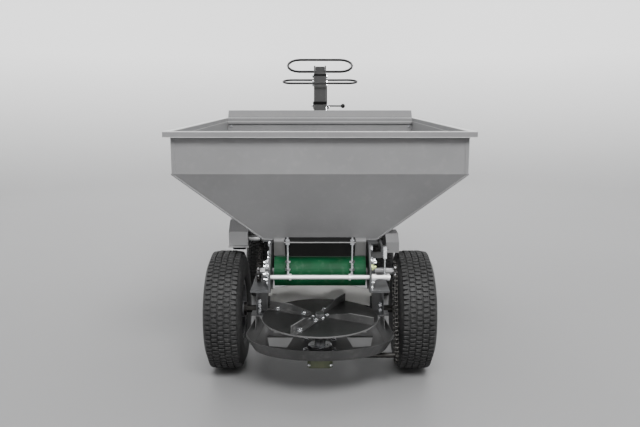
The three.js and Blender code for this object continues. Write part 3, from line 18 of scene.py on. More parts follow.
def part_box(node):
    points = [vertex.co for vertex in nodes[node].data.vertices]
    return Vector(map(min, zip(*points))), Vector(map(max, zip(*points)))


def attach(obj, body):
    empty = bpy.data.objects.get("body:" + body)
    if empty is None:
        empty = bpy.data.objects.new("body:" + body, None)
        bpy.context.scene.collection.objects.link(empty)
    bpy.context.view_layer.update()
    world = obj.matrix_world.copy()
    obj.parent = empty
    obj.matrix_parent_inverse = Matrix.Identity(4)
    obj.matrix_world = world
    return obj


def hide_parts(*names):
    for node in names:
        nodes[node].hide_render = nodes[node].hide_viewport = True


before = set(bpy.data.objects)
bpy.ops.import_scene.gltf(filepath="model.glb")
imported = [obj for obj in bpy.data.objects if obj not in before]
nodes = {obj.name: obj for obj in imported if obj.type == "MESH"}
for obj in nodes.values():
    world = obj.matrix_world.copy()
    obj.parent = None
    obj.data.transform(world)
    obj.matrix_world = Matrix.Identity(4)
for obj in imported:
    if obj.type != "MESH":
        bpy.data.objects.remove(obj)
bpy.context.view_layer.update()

# %% [markdown]
# ## Where the camera stands
#
# The picture was taken from behind the machine, from a little above its rim, with a lens of medium
# length. The sides of the hopper run together towards a point, and that convergence gives the
# distance. The lens could be set by eye in the viewport, but numbers that were worked out from the
# picture can be kept. A camera in Blender looks along its own -Z, so it is tipped up from straight
# down.

# %% Camera
MM = 0.001
PICTURE_WIDTH = 640
FOCAL_PIXELS = 660
CAMERA_HEIGHT = 0.883
CAMERA_BACK = -2.591
CAMERA_PITCH = 10.1

lens = bpy.data.cameras.new("camera")
lens.sensor_width = 36
lens.lens = FOCAL_PIXELS / PICTURE_WIDTH * lens.sensor_width
camera = bpy.data.objects.new("camera", lens)
camera.location = (0, CAMERA_BACK, CAMERA_HEIGHT)
camera.rotation_euler = (math.radians(90 - CAMERA_PITCH), 0, 0)
bpy.context.scene.collection.objects.link(camera)
bpy.context.scene.camera = camera
print("lens:", round(lens.lens, 1), "mm")

# %% [markdown]
# ## The floor
#
# A plain pale floor curves up into a plain backdrop all round, as the paper sweep of a photo studio
# does. A flat plane would end in a horizon line. A bowl has none from any side, and it takes one
# profile, spun round the middle.

# %% Floor
FLOOR_RADIUS = 4.2
SWEEP_RADIUS = 3.0
WALL_TOP = 5.0
SWEEP_STEPS = 16
FLOOR_SIDES = 64


def floor():
    line = [(0.0, 0.0), (FLOOR_RADIUS, 0.0)]
    for i in range(1, SWEEP_STEPS + 1):
        turn = math.pi / 2 * i / SWEEP_STEPS
        out = FLOOR_RADIUS + SWEEP_RADIUS * math.sin(turn)
        line.append((out, SWEEP_RADIUS * (1 - math.cos(turn))))
    line.append((FLOOR_RADIUS + SWEEP_RADIUS, WALL_TOP))
    shape = bmesh.new()
    points = [shape.verts.new((reach, 0, height)) for reach, height in line]
    edges = [shape.edges.new(pair) for pair in zip(points, points[1:])]
    bmesh.ops.spin(
        shape,
        geom=points + edges,
        axis=(0, 0, 1),
        cent=(0, 0, 0),
        steps=FLOOR_SIDES,
        angle=2 * math.pi,
    )
    bmesh.ops.remove_doubles(shape, verts=shape.verts, dist=0.0001)
    bmesh.ops.recalc_face_normals(shape, faces=shape.faces)
    mesh = bpy.data.meshes.new("floor")
    shape.to_mesh(mesh)
    shape.free()
    mesh.shade_smooth()
    sweep = bpy.data.objects.new("floor", mesh)
    bpy.context.scene.collection.objects.link(sweep)
    return sweep


ground = floor()
print("floor faces:", len(ground.data.polygons))

# %% [markdown]
# ## Light
#
# Large lamps give soft shadows, so all the broad light comes from area lamps. The key lamp hangs
# high behind the camera and lights the upright panels more than the sloped ones, which face the
# floor. Four lamps light the backdrop. The spreader and the hardware beside it stand in the
# hopper's shade, and there three narrow spots lift them without washing out the tyres.

# %% Lamps
BACKDROP_LAMPS = {55: 420, 125: 420, 235: 70, 305: 70}
BACKDROP_REACH = 3.4
BACKDROP_AIM = 6.6


def hang(name, light, place, aim, power):
    """Hang a lamp at a place and turn it to shine at its aim; the power is in watts."""
    light.energy = power
    holder = bpy.data.objects.new(name, light)
    holder.location = place
    holder.rotation_euler = (Vector(aim) - Vector(place)).to_track_quat("-Z", "Y").to_euler()
    bpy.context.scene.collection.objects.link(holder)


def lamp(name, place, aim, size, power):
    light = bpy.data.lights.new(name, "AREA")
    light.shape = "RECTANGLE"
    light.size, light.size_y = size
    hang(name, light, place, aim, power)


def spot(name, place, aim, cone, power):
    light = bpy.data.lights.new(name, "SPOT")
    light.spot_size = math.radians(cone)
    light.spot_blend = 0.7
    light.shadow_soft_size = 0.16
    hang(name, light, place, aim, power)


lamp("lamp_key", (0.4, -3.1, 3.4), (0, -0.6, 0.5), (2.4, 1.4), 225)
lamp("lamp_low", (-0.4, -3.6, 0.42), (0, -0.7, 0.2), (2.2, 0.5), 5)
lamp("lamp_over", (0, 0.1, 3.4), (0, 0.1, 0.4), (2.6, 2.6), 66)
lamp("lamp_left", (-3.0, 0.2, 1.7), (0, 0, 0.45), (1.6, 2.0), 20)
lamp("lamp_right", (3.0, 0.2, 1.7), (0, 0, 0.45), (1.6, 2.0), 20)
for angle, power in BACKDROP_LAMPS.items():
    turn = math.radians(angle)
    out = Vector((math.cos(turn), math.sin(turn), 0))
    place = out * BACKDROP_REACH + Vector((0, 0, 4.6))
    aim = out * BACKDROP_AIM + Vector((0, 0, 0.9))
    lamp("lamp_backdrop_" + str(angle), place, aim, (3.4, 1.2), power)
spot("lamp_spreader", (0, -3.6, 0.38), (0, -0.6, 0.235), 12, 95)
spot("lamp_gear_left", (-0.9, -3.2, 0.30), (-0.23, -0.52, 0.37), 6, 60)
spot("lamp_gear_right", (0.9, -3.2, 0.30), (0.2, -0.58, 0.37), 6, 50)

world = bpy.data.worlds.new("studio")
world.use_nodes = True
sky = world.node_tree.nodes["Background"]
sky.inputs["Color"].default_value = (0.62, 0.63, 0.65, 1)
sky.inputs["Strength"].default_value = 0.28
bpy.context.scene.world = world
print("lamps:", len(bpy.data.lights))

# %% [markdown]
# ## Writing finishes as sums
#
# A finish is a small sum over the surface, such as a base roughness plus a share of dust. Dozens of
# Math nodes wired one by one are hard to read. `Term` wraps one socket so that `+` and `*` add
# those nodes, and `Finish.node` makes every other node from its kind, its settings and its sockets.

# %% Shader helpers
class Term:
    def __init__(self, finish, socket):
        self.finish = finish
        self.socket = socket

    def _math(self, operation, first, second):
        return self.finish.node("ShaderNodeMath", {"operation": operation}, {0: first, 1: second})

    def __add__(self, other):
        return self._math("ADD", self, other)

    def __radd__(self, other):
        return self._math("ADD", other, self)

    def __mul__(self, other):
        return self._math("MULTIPLY", self, other)

    def __rmul__(self, other):
        return self._math("MULTIPLY", other, self)


class Finish:
    def __init__(self, name, constants=None):
        self.material = bpy.data.materials.new(name)
        self.material.use_nodes = True
        self.tree = self.material.node_tree
        self.tree.nodes.clear()
        self.shader = self.tree.nodes.new("ShaderNodeBsdfPrincipled")
        output = self.tree.nodes.new("ShaderNodeOutputMaterial")
        self.tree.links.new(self.shader.outputs[0], output.inputs[0])
        for socket, value in (constants or {}).items():
            self.shader.inputs[socket].default_value = value

    def node(self, kind, settings=None, sockets=None, output=0):
        made = self.tree.nodes.new(kind)
        for key, value in (settings or {}).items():
            setattr(made, key, value)
        for key, value in (sockets or {}).items():
            if isinstance(value, Term):
                self.tree.links.new(value.socket, made.inputs[key])
            else:
                made.inputs[key].default_value = value
        return Term(self, made.outputs[output])

    def place(self):
        return self.node("ShaderNodeTexCoord", output="Object")

    def noise(self, scale, detail=3.0, rough=0.5):
        sockets = {
            "Vector": self.place(),
            "Scale": scale,
            "Detail": detail,
            "Roughness": rough,
        }
        return self.node("ShaderNodeTexNoise", None, sockets)

    def vector(self, operation, first, second=None, output=0):
        sockets = {0: first} if second is None else {0: first, 1: second}
        return self.node("ShaderNodeVectorMath", {"operation": operation}, sockets, output)

    def between(self, low, high, value):
        """None of something up to low, all of it from high on, and an even ramp between."""
        sockets = {"Value": value, 1: low, 2: high}
        return self.node("ShaderNodeMapRange", {"clamp": True}, sockets)

    def mix(self, share, first, second):
        sockets = {0: share, 6: self.colour(first), 7: self.colour(second)}
        return self.node("ShaderNodeMix", {"data_type": "RGBA"}, sockets, output=2)

    def colour(self, value):
        return value if isinstance(value, Term) else (*value[:3], 1)

    def axis(self, name):
        return self.node("ShaderNodeSeparateXYZ", None, {0: self.place()}, output=name)

    def feed(self, socket, value):
        target = self.shader.inputs[socket]
        if isinstance(value, Term):
            self.tree.links.new(value.socket, target)
        else:
            target.default_value = value

    def bump(self, height, distance, strength=1.0):
        sockets = {"Height": height, "Distance": distance, "Strength": strength}
        return self.node("ShaderNodeBump", None, sockets)


def grey(level, tint=(1, 1, 1)):
    return tuple(level * t for t in tint)


print("finish helpers: ready")

# %% [markdown]
# ## Paper for the floor
#
# A paper sweep is plain, yet light falls off over it. The paper is a middling grey under the
# machine, so that it throws little light up at the slopes, and it gets paler up the wall.

# %% Paper
paper_finish = Finish("floor_pale")
paper_tone = paper_finish.noise(0.6, 2)
paper = paper_finish.mix(paper_tone, (0.215, 0.215, 0.217), (0.24, 0.24, 0.242))
wall = paper_finish.mix(paper_tone, (0.66, 0.66, 0.66), (0.70, 0.70, 0.70))
rise = paper_finish.between(0.0, 1.4, paper_finish.axis("Z"))
paper_finish.feed("Base Color", paper_finish.mix(rise, paper, wall))
paper_finish.feed("Roughness", 0.55)
ground.data.materials.append(paper_finish.material)
print("floor finish:", ground.data.materials[0].name)

# %% [markdown]
# ## Powder coat
#
# Powder coat is baked paint. It has a faint orange peel, and in use it gathers dust in patches. A
# single colour would look like plastic, so broad noise shifts the tone, finer noise lays the dust,
# and very fine noise feeds a bump. One recipe serves every coat, from pale hopper to black loops.

# %% Powder coat recipe
COOL = (1.0, 1.0, 1.015)
BLUISH = (1.0, 1.0, 1.05)
PLAIN = (1.0, 1.0, 1.0)
DUST_TINT = (1, 0.98, 0.94)


def powder(name, level, tint, rough, dust, gloss=0.5, marked=None):
    """A coat of one grey level; its last argument may add the piece's painted highlights and darker
    places.
    """
    finish = Finish(name, {"Specular IOR Level": gloss})
    patches = finish.noise(5.5, 4)
    fine = finish.noise(46, 3)
    soft = finish.between(0.38, 0.66, patches)
    base = finish.mix(soft, grey(level * 0.94, tint), grey(level * 1.05, tint))
    speck = finish.between(0.55, 0.75, fine) * (dust * 0.6)
    dust_grey = grey(min(1, level * 1.6 + 0.06), DUST_TINT)
    dusty = finish.mix(speck + dust * 0.1, base, dust_grey)
    finish.feed("Base Color", marked(finish, dusty) if marked else dusty)
    finish.feed("Roughness", finish.between(0.3, 0.7, patches) * 0.1 + rough + speck * 0.2)
    orange_peel = finish.noise(900, 2)
    finish.feed("Normal", finish.bump(orange_peel, 0.00009, 0.6))
    return finish.material


print("noise layers in each coat: 3")

# %% [markdown]
# ## Painted highlights and a darker outlet
#
# Light catches both edges of the hopper's lip and the front edge of the gate's fold, and there the
# coat carries painted highlights. The short outlet below the slopes is painted much darker. These
# places could be painted by hand on a UV map, but each is told by its height or depth in the
# machine alone.

# %% Hopper and gate coats
RIM_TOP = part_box("hopper")[1].z
LIP_FOOT = RIM_TOP - 0.017
OUTLET_TOP = 0.4405
GATE_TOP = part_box("gate_leaf")[1].z
GATE_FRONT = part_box("gate_leaf")[0].y
# Colours painted on: a highlight for the lip's edges, a highlight for the gate's fold, and the
# outlet's darker tone.
LIP_HIGHLIGHT = (0.6, 0.6, 0.6)
FOLD_HIGHLIGHT = (0.3, 0.3, 0.3)
OUTLET_DARK = (0.035, 0.035, 0.033)


def hopper_wear(finish, coat):
    """Painted highlights along the lip's two edges, and the outlet below the slopes painted darker.
    """
    height = finish.axis("Z")
    under = finish.between(RIM_TOP - 0.0022, RIM_TOP - 0.001, height)
    upper = under * finish.between(RIM_TOP + 0.001, RIM_TOP + 0.0004, height)
    lower = finish.between(LIP_FOOT + 0.0022, LIP_FOOT + 0.001, height)
    lip = finish.between(LIP_FOOT - 0.0006, LIP_FOOT, height)
    # Painted highlight: both edges of the lip are painted paler.
    lip_highlight = finish.mix((upper + lower * lip) * 0.75, coat, LIP_HIGHLIGHT)
    # The short outlet below the slopes is painted much darker.
    outlet_dark = finish.between(OUTLET_TOP + 0.002, OUTLET_TOP - 0.004, height) * 0.88
    return finish.mix(outlet_dark, lip_highlight, OUTLET_DARK)


def gate_edge(finish, coat):
    """A painted highlight along the front edge of the fold on the gate's top."""
    fold = finish.between(GATE_TOP - 0.0045, GATE_TOP - 0.0035, finish.axis("Z"))
    front = finish.between(GATE_FRONT + 0.0025, GATE_FRONT + 0.0012, finish.axis("Y"))
    # Painted highlight along the front edge of the fold.
    return finish.mix(fold * front * 0.7, coat, FOLD_HIGHLIGHT)


HOPPER = powder("hopper_coat", 0.205, COOL, rough=0.36, dust=0.14, marked=hopper_wear)
GATE = powder("gate_coat", 0.004, PLAIN, rough=0.55, dust=0.02, gloss=0.2, marked=gate_edge)
print("rim top:", round(RIM_TOP, 3), "gate top:", round(GATE_TOP, 3))

# %% [markdown]
# ## Plain coats
#
# The shield behind the disc, the covers and the front apron wear the hopper's pale paint, and each
# has its own level as painted light: the shield, the left cover and the mudguard are painted paler
# than the hopper, and the apron and the right cover darker, as painted shade. The frame, the rims
# and the loops are dark to black.

# %% Plain coats
# Painted light: the shield is painted about four times paler than the hopper's own paint.
SHIELD_PAINTED_LIGHT = powder("shield_painted_light", 0.8, (1.0, 0.99, 0.95), rough=0.38, dust=0.2)
# Painted light: the left cover and the mudguard are painted paler than the hopper's paint.
COVER_PAINTED_LIGHT = powder("cover_painted_light", 0.37, COOL, rough=0.36, dust=0.14)
# Painted shade: the front apron and the right cover are painted darker than the hopper's paint.
APRON_PAINTED_SHADE = powder("apron_painted_shade", 0.145, COOL, rough=0.4, dust=0.12, gloss=0.35)
FRAME = powder("frame_coat", 0.045, (0.97, 1.0, 1.05), rough=0.42, dust=0.16)
RIM = powder("rim_coat", 0.11, BLUISH, rough=0.4, dust=0.18)
BLACK = powder("black_coat", 0.004, BLUISH, rough=0.28, dust=0.02, gloss=0.22)
MATT = powder("matt_coat", 0.006, PLAIN, rough=0.7, dust=0.02, gloss=0.05)
print("plain coats: 7")

# %% [markdown]
# ## Dark coats with bright edges
#
# The pan, the disc, the vanes and the drawbar's post catch light along their edges, and there a
# pale band is painted on as a highlight. A Bevel node could find every edge, but the edges here lie
# at a known height, reach or width, so a band at that place is enough, and it bakes well. Soft
# scuffs of wear cover the rest.

# %% Coats with bright edges
# A pale grey, painted on as a highlight along edges.
EDGE_HIGHLIGHT = (0.24, 0.24, 0.24)
EDGE_DEPTH = 0.0016
disc_low, disc_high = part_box("spinner_disc")
DISC_Y = (disc_low.y + disc_high.y) / 2
DISC_RADIUS = (disc_high.x - disc_low.x) / 2
POST_CORNER = (0.0278, 0.0296)


def edged(name, level, rough, highlight, metallic=0.35, gloss=0.5):
    """A dark coat with scuffs, and a painted highlight where the given function puts it."""
    finish = Finish(name, {"Metallic": metallic, "Specular IOR Level": gloss})
    patches = finish.noise(7, 4)
    scuffs = finish.between(0.52, 0.7, finish.noise(34, 5, rough=0.7))
    base = finish.mix(finish.between(0.35, 0.7, patches), grey(level * 0.8), grey(level * 1.3))
    marked = finish.mix(scuffs * 0.35, base, grey(level * 2.6, (1.0, 0.98, 0.95)))
    finish.feed("Base Color", finish.mix(highlight(finish), marked, EDGE_HIGHLIGHT))
    finish.feed("Roughness", patches * 0.16 + rough + scuffs * 0.1)
    finish.feed("Normal", finish.bump(finish.noise(500, 2), 0.00008, 0.5))
    return finish.material


def top_edge(node):
    """A painted highlight along the top of a solid."""
    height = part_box(node)[1].z - EDGE_DEPTH
    return lambda finish: finish.between(height, height + 0.0012, finish.axis("Z")) * 0.8


# Painted highlight round the rim of the disc.
def disc_edge(finish):
    offset = finish.vector("SUBTRACT", finish.place(), (0, DISC_Y, 0))
    flat = finish.vector("MULTIPLY", offset, (1, 1, 0))
    reach = finish.vector("LENGTH", flat, output="Value")
    return finish.between(DISC_RADIUS - 0.0022, DISC_RADIUS - 0.0008, reach) * 0.5


# Painted highlight on both sides of the post.
def post_corners(finish):
    width = finish.node("ShaderNodeMath", {"operation": "ABSOLUTE"}, {0: finish.axis("X")})
    return finish.between(*POST_CORNER, width) * 0.55


PAN = edged("pan_coat", 0.06, 0.36, top_edge("guard_pan"))
DISC = edged("disc_coat", 0.022, 0.3, disc_edge)
VANE = edged("vane_coat", 0.06, 0.32, top_edge("spinner_vane_1"))
POST = edged("post_coat", 0.03, 0.42, post_corners, metallic=0.0, gloss=0.15)
print("disc radius:", round(DISC_RADIUS, 4))

# %% [markdown]
# ## Metals and rubber
#
# Zinc plate is bright with cloudy patches, oiled chain is nearly black, and all of it is smooth
# enough to mirror the lamps softly. One recipe with a level, a tint and a share of cloud covers
# them. Rubber is dull, so it gets little gloss, a grainy bump and dust in specks.

# %% Metals
def metal(name, level, tint, rough, cloud, grain, metallic=0.95):
    """Cloudy metal; cloud is how much darker the patches are, grain scales the finest noise."""
    finish = Finish(name, {"Metallic": metallic})
    patches = finish.noise(18, 4)
    tone = finish.between(0.35, 0.65, patches)
    clouds = finish.mix(tone, grey(level * (1 - cloud), tint), grey(level, tint))
    finish.feed("Base Color", clouds)
    fine = finish.noise(grain, 2)
    finish.feed("Roughness", fine * 0.18 + rough)
    finish.feed("Normal", finish.bump(fine, 0.00003, 0.3))
    return finish.material


ZINC = metal("zinc_plate", 0.8, (0.98, 1.0, 1.03), rough=0.16, cloud=0.1, grain=160)
BRIGHT = metal("bright_bar", 0.92, PLAIN, rough=0.34, cloud=0.03, grain=6, metallic=0.8)
STEEL = metal("turned_steel", 0.44, (1.0, 1.0, 1.02), rough=0.26, cloud=0.25, grain=260)
CHAIN = metal("oiled_steel", 0.035, (1.0, 0.97, 0.92), rough=0.34, cloud=0.4, grain=300)
YELLOW = metal("yellow_zinc", 0.55, (0.86, 1.0, 0.42), rough=0.24, cloud=0.2, grain=160)
print("metals: 5")


# %% Rubber
def rubber(name, level, rough, grain, dust):
    finish = Finish(name, {"Specular IOR Level": 0.38})
    patches = finish.noise(9, 4)
    specks = finish.noise(120, 4)
    tone = finish.between(0.35, 0.7, patches)
    base = finish.mix(tone, grey(level, (1, 1, 1.03)), grey(level * 1.7))
    dusty = finish.between(0.5, 0.72, specks) * dust
    finish.feed("Base Color", finish.mix(dusty, base, (0.16, 0.155, 0.145)))
    finish.feed("Roughness", finish.between(0.3, 0.7, patches) * 0.12 + rough)
    finish.feed("Normal", finish.bump(finish.noise(grain, 3), 0.0004, 0.5))
    return finish.material


TYRE = rubber("tyre_rubber", 0.017, rough=0.56, grain=260, dust=0.14)
GRIP = rubber("grip_rubber", 0.012, rough=0.6, grain=340, dust=0.06)
print("rubbers: 2")

# %% [markdown]
# ## Belt and casting
#
# The belt is green woven cloth with a thin coat, worn lighter in patches by the sand. The gear
# housing is a rough casting with a thin olive paint. Both need only noise at the scale of their
# weave or lumps, which a bump shows well enough at this distance.

# %% Belt and casting
def belt_cloth():
    finish = Finish("belt_green", {"Specular IOR Level": 0.12})
    wear = finish.noise(14, 4)
    weave = finish.noise(420, 2)
    tone = finish.between(0.35, 0.7, wear)
    base = finish.mix(tone, (0.003, 0.047, 0.017), (0.006, 0.074, 0.029))
    dust = finish.between(0.55, 0.75, finish.noise(60, 4)) * 0.08
    finish.feed("Base Color", finish.mix(dust, base, (0.30, 0.33, 0.28)))
    finish.feed("Roughness", tone * 0.14 + 0.46)
    finish.feed("Normal", finish.bump(weave, 0.00014, 0.5))
    return finish.material


def casting():
    finish = Finish("housing_cast")
    lumps = finish.noise(150, 4)
    tone = finish.between(0.35, 0.7, finish.noise(20, 3))
    finish.feed("Base Color", finish.mix(tone, (0.035, 0.044, 0.017), (0.065, 0.074, 0.033)))
    finish.feed("Roughness", lumps * 0.2 + 0.4)
    finish.feed("Normal", finish.bump(lumps, 0.0004, 0.5))
    return finish.material


BELT = belt_cloth()
CAST = casting()
print("belt and casting: 2")

# %% [markdown]
# ## A finish for every solid
#
# Each solid takes the finish of the real piece. A table from finish to names is shorter than one
# line for each solid. The solids that aren't in it are parts of the dark frame.

# %% Give the solids their finishes
finish_of = {
    HOPPER: ["hopper"],
    APRON_PAINTED_SHADE: ["front_apron", "drive_cover_right"],
    COVER_PAINTED_LIGHT: ["drive_cover_left", "mudguard_left"],
    SHIELD_PAINTED_LIGHT: ["spinner_shield"],
    GATE: ["gate_leaf"],
    DISC: ["spinner_disc"],
    PAN: ["guard_pan"],
    VANE: ["spinner_vane_1", "spinner_vane_2", "spinner_vane_3", "spinner_vane_4"],
    BLACK: ["loop_handle", "bail_loop", "lever_knob", "drive_lever"],
    POST: ["drawbar_post"],
    RIM: ["rear_rim_left", "rear_rim_right", "front_rim_left", "front_rim_right"],
    TYRE: ["rear_tyre_left", "rear_tyre_right", "front_tyre_left", "front_tyre_right"],
    GRIP: ["friction_roller", "gate_lever_grip", "control_cable"],
    BELT: ["conveyor_belt"],
    CAST: ["gear_housing"],
    ZINC: ["gate_rod_left", "gate_rod_right", "gate_link_rod", "lever_bracket", "spinner_bearing"],
    BRIGHT: ["gate_cross_shaft", "drive_shaft"],
    STEEL: ["rear_roller", "front_roller", "spinner_shaft"],
    CHAIN: ["spinner_input_shaft", "rear_axle", "conveyor_chain", "spinner_chain"],
}
chosen = {name: finish for finish, names in finish_of.items() for name in names}
for name, solid in nodes.items():
    solid.data.materials.clear()
    solid.data.materials.append(chosen.get(name, FRAME))
print("finished solids:", len(nodes))

# %% [markdown]
# ## Small pieces, repeated
#
# A real machine has dozens of equal small pieces. Linked copies would do in the viewport, but they
# stay many objects. Here Geometry Nodes copies one model to every place, and the result is one
# mesh. The group takes the places as points, and each point carries its own turn and size.

# %% Scatter group
def scatter_group():
    group = bpy.data.node_groups.new("scatter", "GeometryNodeTree")
    sockets = group.interface
    sockets.new_socket("Geometry", in_out="INPUT", socket_type="NodeSocketGeometry")
    model = sockets.new_socket("Model", in_out="INPUT", socket_type="NodeSocketObject")
    finish = sockets.new_socket("Finish", in_out="INPUT", socket_type="NodeSocketMaterial")
    sockets.new_socket("Geometry", in_out="OUTPUT", socket_type="NodeSocketGeometry")
    start = group.nodes.new("NodeGroupInput")
    end = group.nodes.new("NodeGroupOutput")
    source = group.nodes.new("GeometryNodeObjectInfo")
    copies = group.nodes.new("GeometryNodeInstanceOnPoints")
    spin = group.nodes.new("FunctionNodeEulerToRotation")
    real = group.nodes.new("GeometryNodeRealizeInstances")
    paint = group.nodes.new("GeometryNodeSetMaterial")
    stored = {}
    for name in ("turn", "size"):
        stored[name] = group.nodes.new("GeometryNodeInputNamedAttribute")
        stored[name].data_type = "FLOAT_VECTOR"
        stored[name].inputs["Name"].default_value = name
    link = group.links.new
    link(start.outputs["Model"], source.inputs["Object"])
    link(start.outputs["Geometry"], copies.inputs["Points"])
    link(source.outputs["Geometry"], copies.inputs["Instance"])
    link(stored["turn"].outputs["Attribute"], spin.inputs[0])
    link(spin.outputs[0], copies.inputs["Rotation"])
    link(stored["size"].outputs["Attribute"], copies.inputs["Scale"])
    link(copies.outputs[0], real.inputs[0])
    link(real.outputs[0], paint.inputs["Geometry"])
    link(start.outputs["Finish"], paint.inputs["Material"])
    link(paint.outputs[0], end.inputs[0])
    return group, model.identifier, finish.identifier


SCATTER, MODEL_INPUT, FINISH_INPUT = scatter_group()
print("scatter nodes:", len(SCATTER.nodes))

# %% [markdown]
# ## From places to a piece
#
# Places are written in millimetres from the middle of the rear axle, as on a drawing, and `at`
# turns them into metres in the shared frame. The modifier's result is read from the evaluated
# object and kept as a plain mesh, because the export drops instances. The new piece then rides on
# its body.

# %% Copy a model to many places
AXLE_Y = (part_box("rear_axle")[0].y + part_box("rear_axle")[1].y) / 2


def at(x, y, z):
    """A place in metres, from millimetres measured at the middle of the rear axle."""
    return Vector((x * MM, AXLE_Y + y * MM, z * MM))


def stored_vectors(mesh, name, rows):
    layer = mesh.attributes.new(name, "FLOAT_VECTOR", "POINT")
    for item, row in zip(layer.data, rows):
        item.vector = row


def copies_of(model, places, finish, name):
    """One mesh with a copy of the model at each place: a point, its turn and its size."""
    points = bpy.data.meshes.new(name + "_points")
    points.from_pydata([tuple(place[0]) for place in places], [], [])
    stored_vectors(points, "turn", [place[1] for place in places])
    stored_vectors(points, "size", [place[2] for place in places])
    holder = bpy.data.objects.new(name + "_points", points)
    bpy.context.scene.collection.objects.link(holder)
    copier = holder.modifiers.new("scatter", "NODES")
    copier.node_group = SCATTER
    copier[MODEL_INPUT] = model
    copier[FINISH_INPUT] = finish
    depsgraph = bpy.context.evaluated_depsgraph_get()
    mesh = bpy.data.meshes.new_from_object(holder.evaluated_get(depsgraph))
    bpy.data.objects.remove(holder)
    return mesh


def add_piece(name, mesh, body):
    piece = bpy.data.objects.new(name, mesh)
    bpy.context.scene.collection.objects.link(piece)
    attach(piece, body)
    return piece


def scatter(name, body, model, places, finish):
    mesh = copies_of(model, places, finish, name)
    print(name, "copies:", len(places), "faces:", len(mesh.polygons))
    return add_piece(name, mesh, body)


print("rear axle at Y:", round(AXLE_Y, 4))

# %% [markdown]
# ## A lathe for small models
#
# Most hardware is round or six sided, so a profile turned round an axis makes it, with far fewer
# faces than cut cylinders. A profile is a list of radius and height in millimetres. With six sides
# the lathe gives a hexagon, as on a bolt head.

# %% Lathe
def turned_ring(shape, radius, height, sides):
    """One ring of points round the axis, or a single point where the radius is none."""
    if radius == 0:
        return [shape.verts.new((0, 0, height * MM))]
    reach = radius * MM
    turns = [2 * math.pi * k / sides for k in range(sides)]
    places = [(reach * math.cos(turn), reach * math.sin(turn), height * MM) for turn in turns]
    return [shape.verts.new(place) for place in places]


def turned_model(name, profiles):
    """Turn each profile and join them; a profile that ends where it starts gives a ring."""
    shape = bmesh.new()
    for profile, sides in profiles:
        closed = profile[0] == profile[-1] and profile[0][0] > 0
        steps = profile[:-1] if closed else profile
        rings = [turned_ring(shape, radius, height, sides) for radius, height in steps]
        if closed:
            rings.append(rings[0])
        for low_ring, high_ring in zip(rings, rings[1:]):
            for k in range(max(len(low_ring), len(high_ring))):
                corners = [
                    low_ring[k % len(low_ring)],
                    low_ring[(k + 1) % len(low_ring)],
                    high_ring[(k + 1) % len(high_ring)],
                    high_ring[k % len(high_ring)],
                ]
                shape.faces.new(list(dict.fromkeys(corners)))
    bmesh.ops.recalc_face_normals(shape, faces=shape.faces)
    mesh = bpy.data.meshes.new(name)
    shape.to_mesh(mesh)
    shape.free()
    return bpy.data.objects.new(name, mesh)


print("lathe: ready")

# %% Models of the hardware
WASHER = ([(0, -0.4), (8, -0.4), (8, 1.1), (7.4, 1.6), (0, 1.6)], 18)
HEAD = ([(0, 1), (7.5, 1), (7.5, 6), (6.6, 7), (0, 7)], 6)
NUT = ([(0, 1), (7.5, 1), (7.5, 7), (6.7, 7.8), (0, 7.8)], 6)
STUD = ([(0, 7), (3.9, 7), (3.9, 13), (3.1, 14), (0, 14)], 12)
THREAD = ([(2.9, -0.5), (3.4, 0), (2.9, 0.5), (2.9, -0.5)], 12)
RIPPLE = ([(0, -2.6), (2.9, -1.5), (3.4, 0), (2.9, 1.5), (0, 2.6)], 8)
FLANGE = ([(25, 0), (25, 3), (35, 3), (36, 2), (36, 0), (25, 0)], 32)
CLIP = ([(4.6, -3), (4.6, 3), (2.6, 3), (2.6, -3), (4.6, -3)], 14)

bolt_head = turned_model("bolt_head", [WASHER, HEAD])
nut_on_stud = turned_model("nut_on_stud", [WASHER, NUT, STUD])
thread_ring = turned_model("thread_ring", [THREAD])
weld_ripple = turned_model("weld_ripple", [RIPPLE])
flange_ring = turned_model("flange_ring", [FLANGE])
cable_clip = turned_model("clip", [CLIP])
print("models: 6")

# %% [markdown]
# ## Seating hardware on what carries it
#
# A bolt is only right where it touches a surface. Its depth could be copied from the CAD model, but
# a wrong number would leave it hanging in the air. `seat` looks from outside along a straight line
# at its carriers, and puts the bolt where that line first meets one, square to the face it found.

# %% Seat bolts and nuts
BOLT_SPIN = 0.3
LOOKS = {
    "-x": (Vector((1, 0, 0)), lambda a, b: (-2000, a, b)),
    "+x": (Vector((-1, 0, 0)), lambda a, b: (2000, a, b)),
    "-y": (Vector((0, 1, 0)), lambda a, b: (a, -2000, b)),
    "+y": (Vector((0, -1, 0)), lambda a, b: (a, 3000, b)),
    "-z": (Vector((0, 0, 1)), lambda a, b: (a, b, -2000)),
    "+z": (Vector((0, 0, -1)), lambda a, b: (a, b, 3000)),
}
surfaces = {}


def surface_of(node):
    if node not in surfaces:
        mesh = nodes[node].data
        points = [v.co for v in mesh.vertices]
        faces = [tuple(f.vertices) for f in mesh.polygons]
        surfaces[node] = BVHTree.FromPolygons(points, faces)
    return surfaces[node]


def seat(carriers, side, a, b, size=1.0, start=None):
    """Place for a bolt on a side of one of the carriers; a and b are the two other coordinates.

    The line of sight starts far outside, or at start, where another solid stands in its way.
    """
    look, origin = LOOKS[side]
    origin = list(origin(a, b))
    if start is not None:
        origin["xyz".index(side[1])] = start
    found = [surface_of(node).ray_cast(at(*origin), look) for node in carriers.split()]
    found = [row for row in found if row[0] is not None]
    if not found:
        print("no seat:", carriers, side, a, b)
        return None
    hit, normal, _, _ = min(found, key=lambda row: row[3])
    if normal.dot(look) > 0:
        normal = -normal
    turn = normal.to_track_quat("Z", "Y") @ Quaternion((0, 0, 1), BOLT_SPIN)
    return hit, turn.to_euler(), (size, size, size)


def seated(rows):
    return [place for place in (seat(*row) for row in rows) if place]


print("sides to look from:", len(LOOKS))

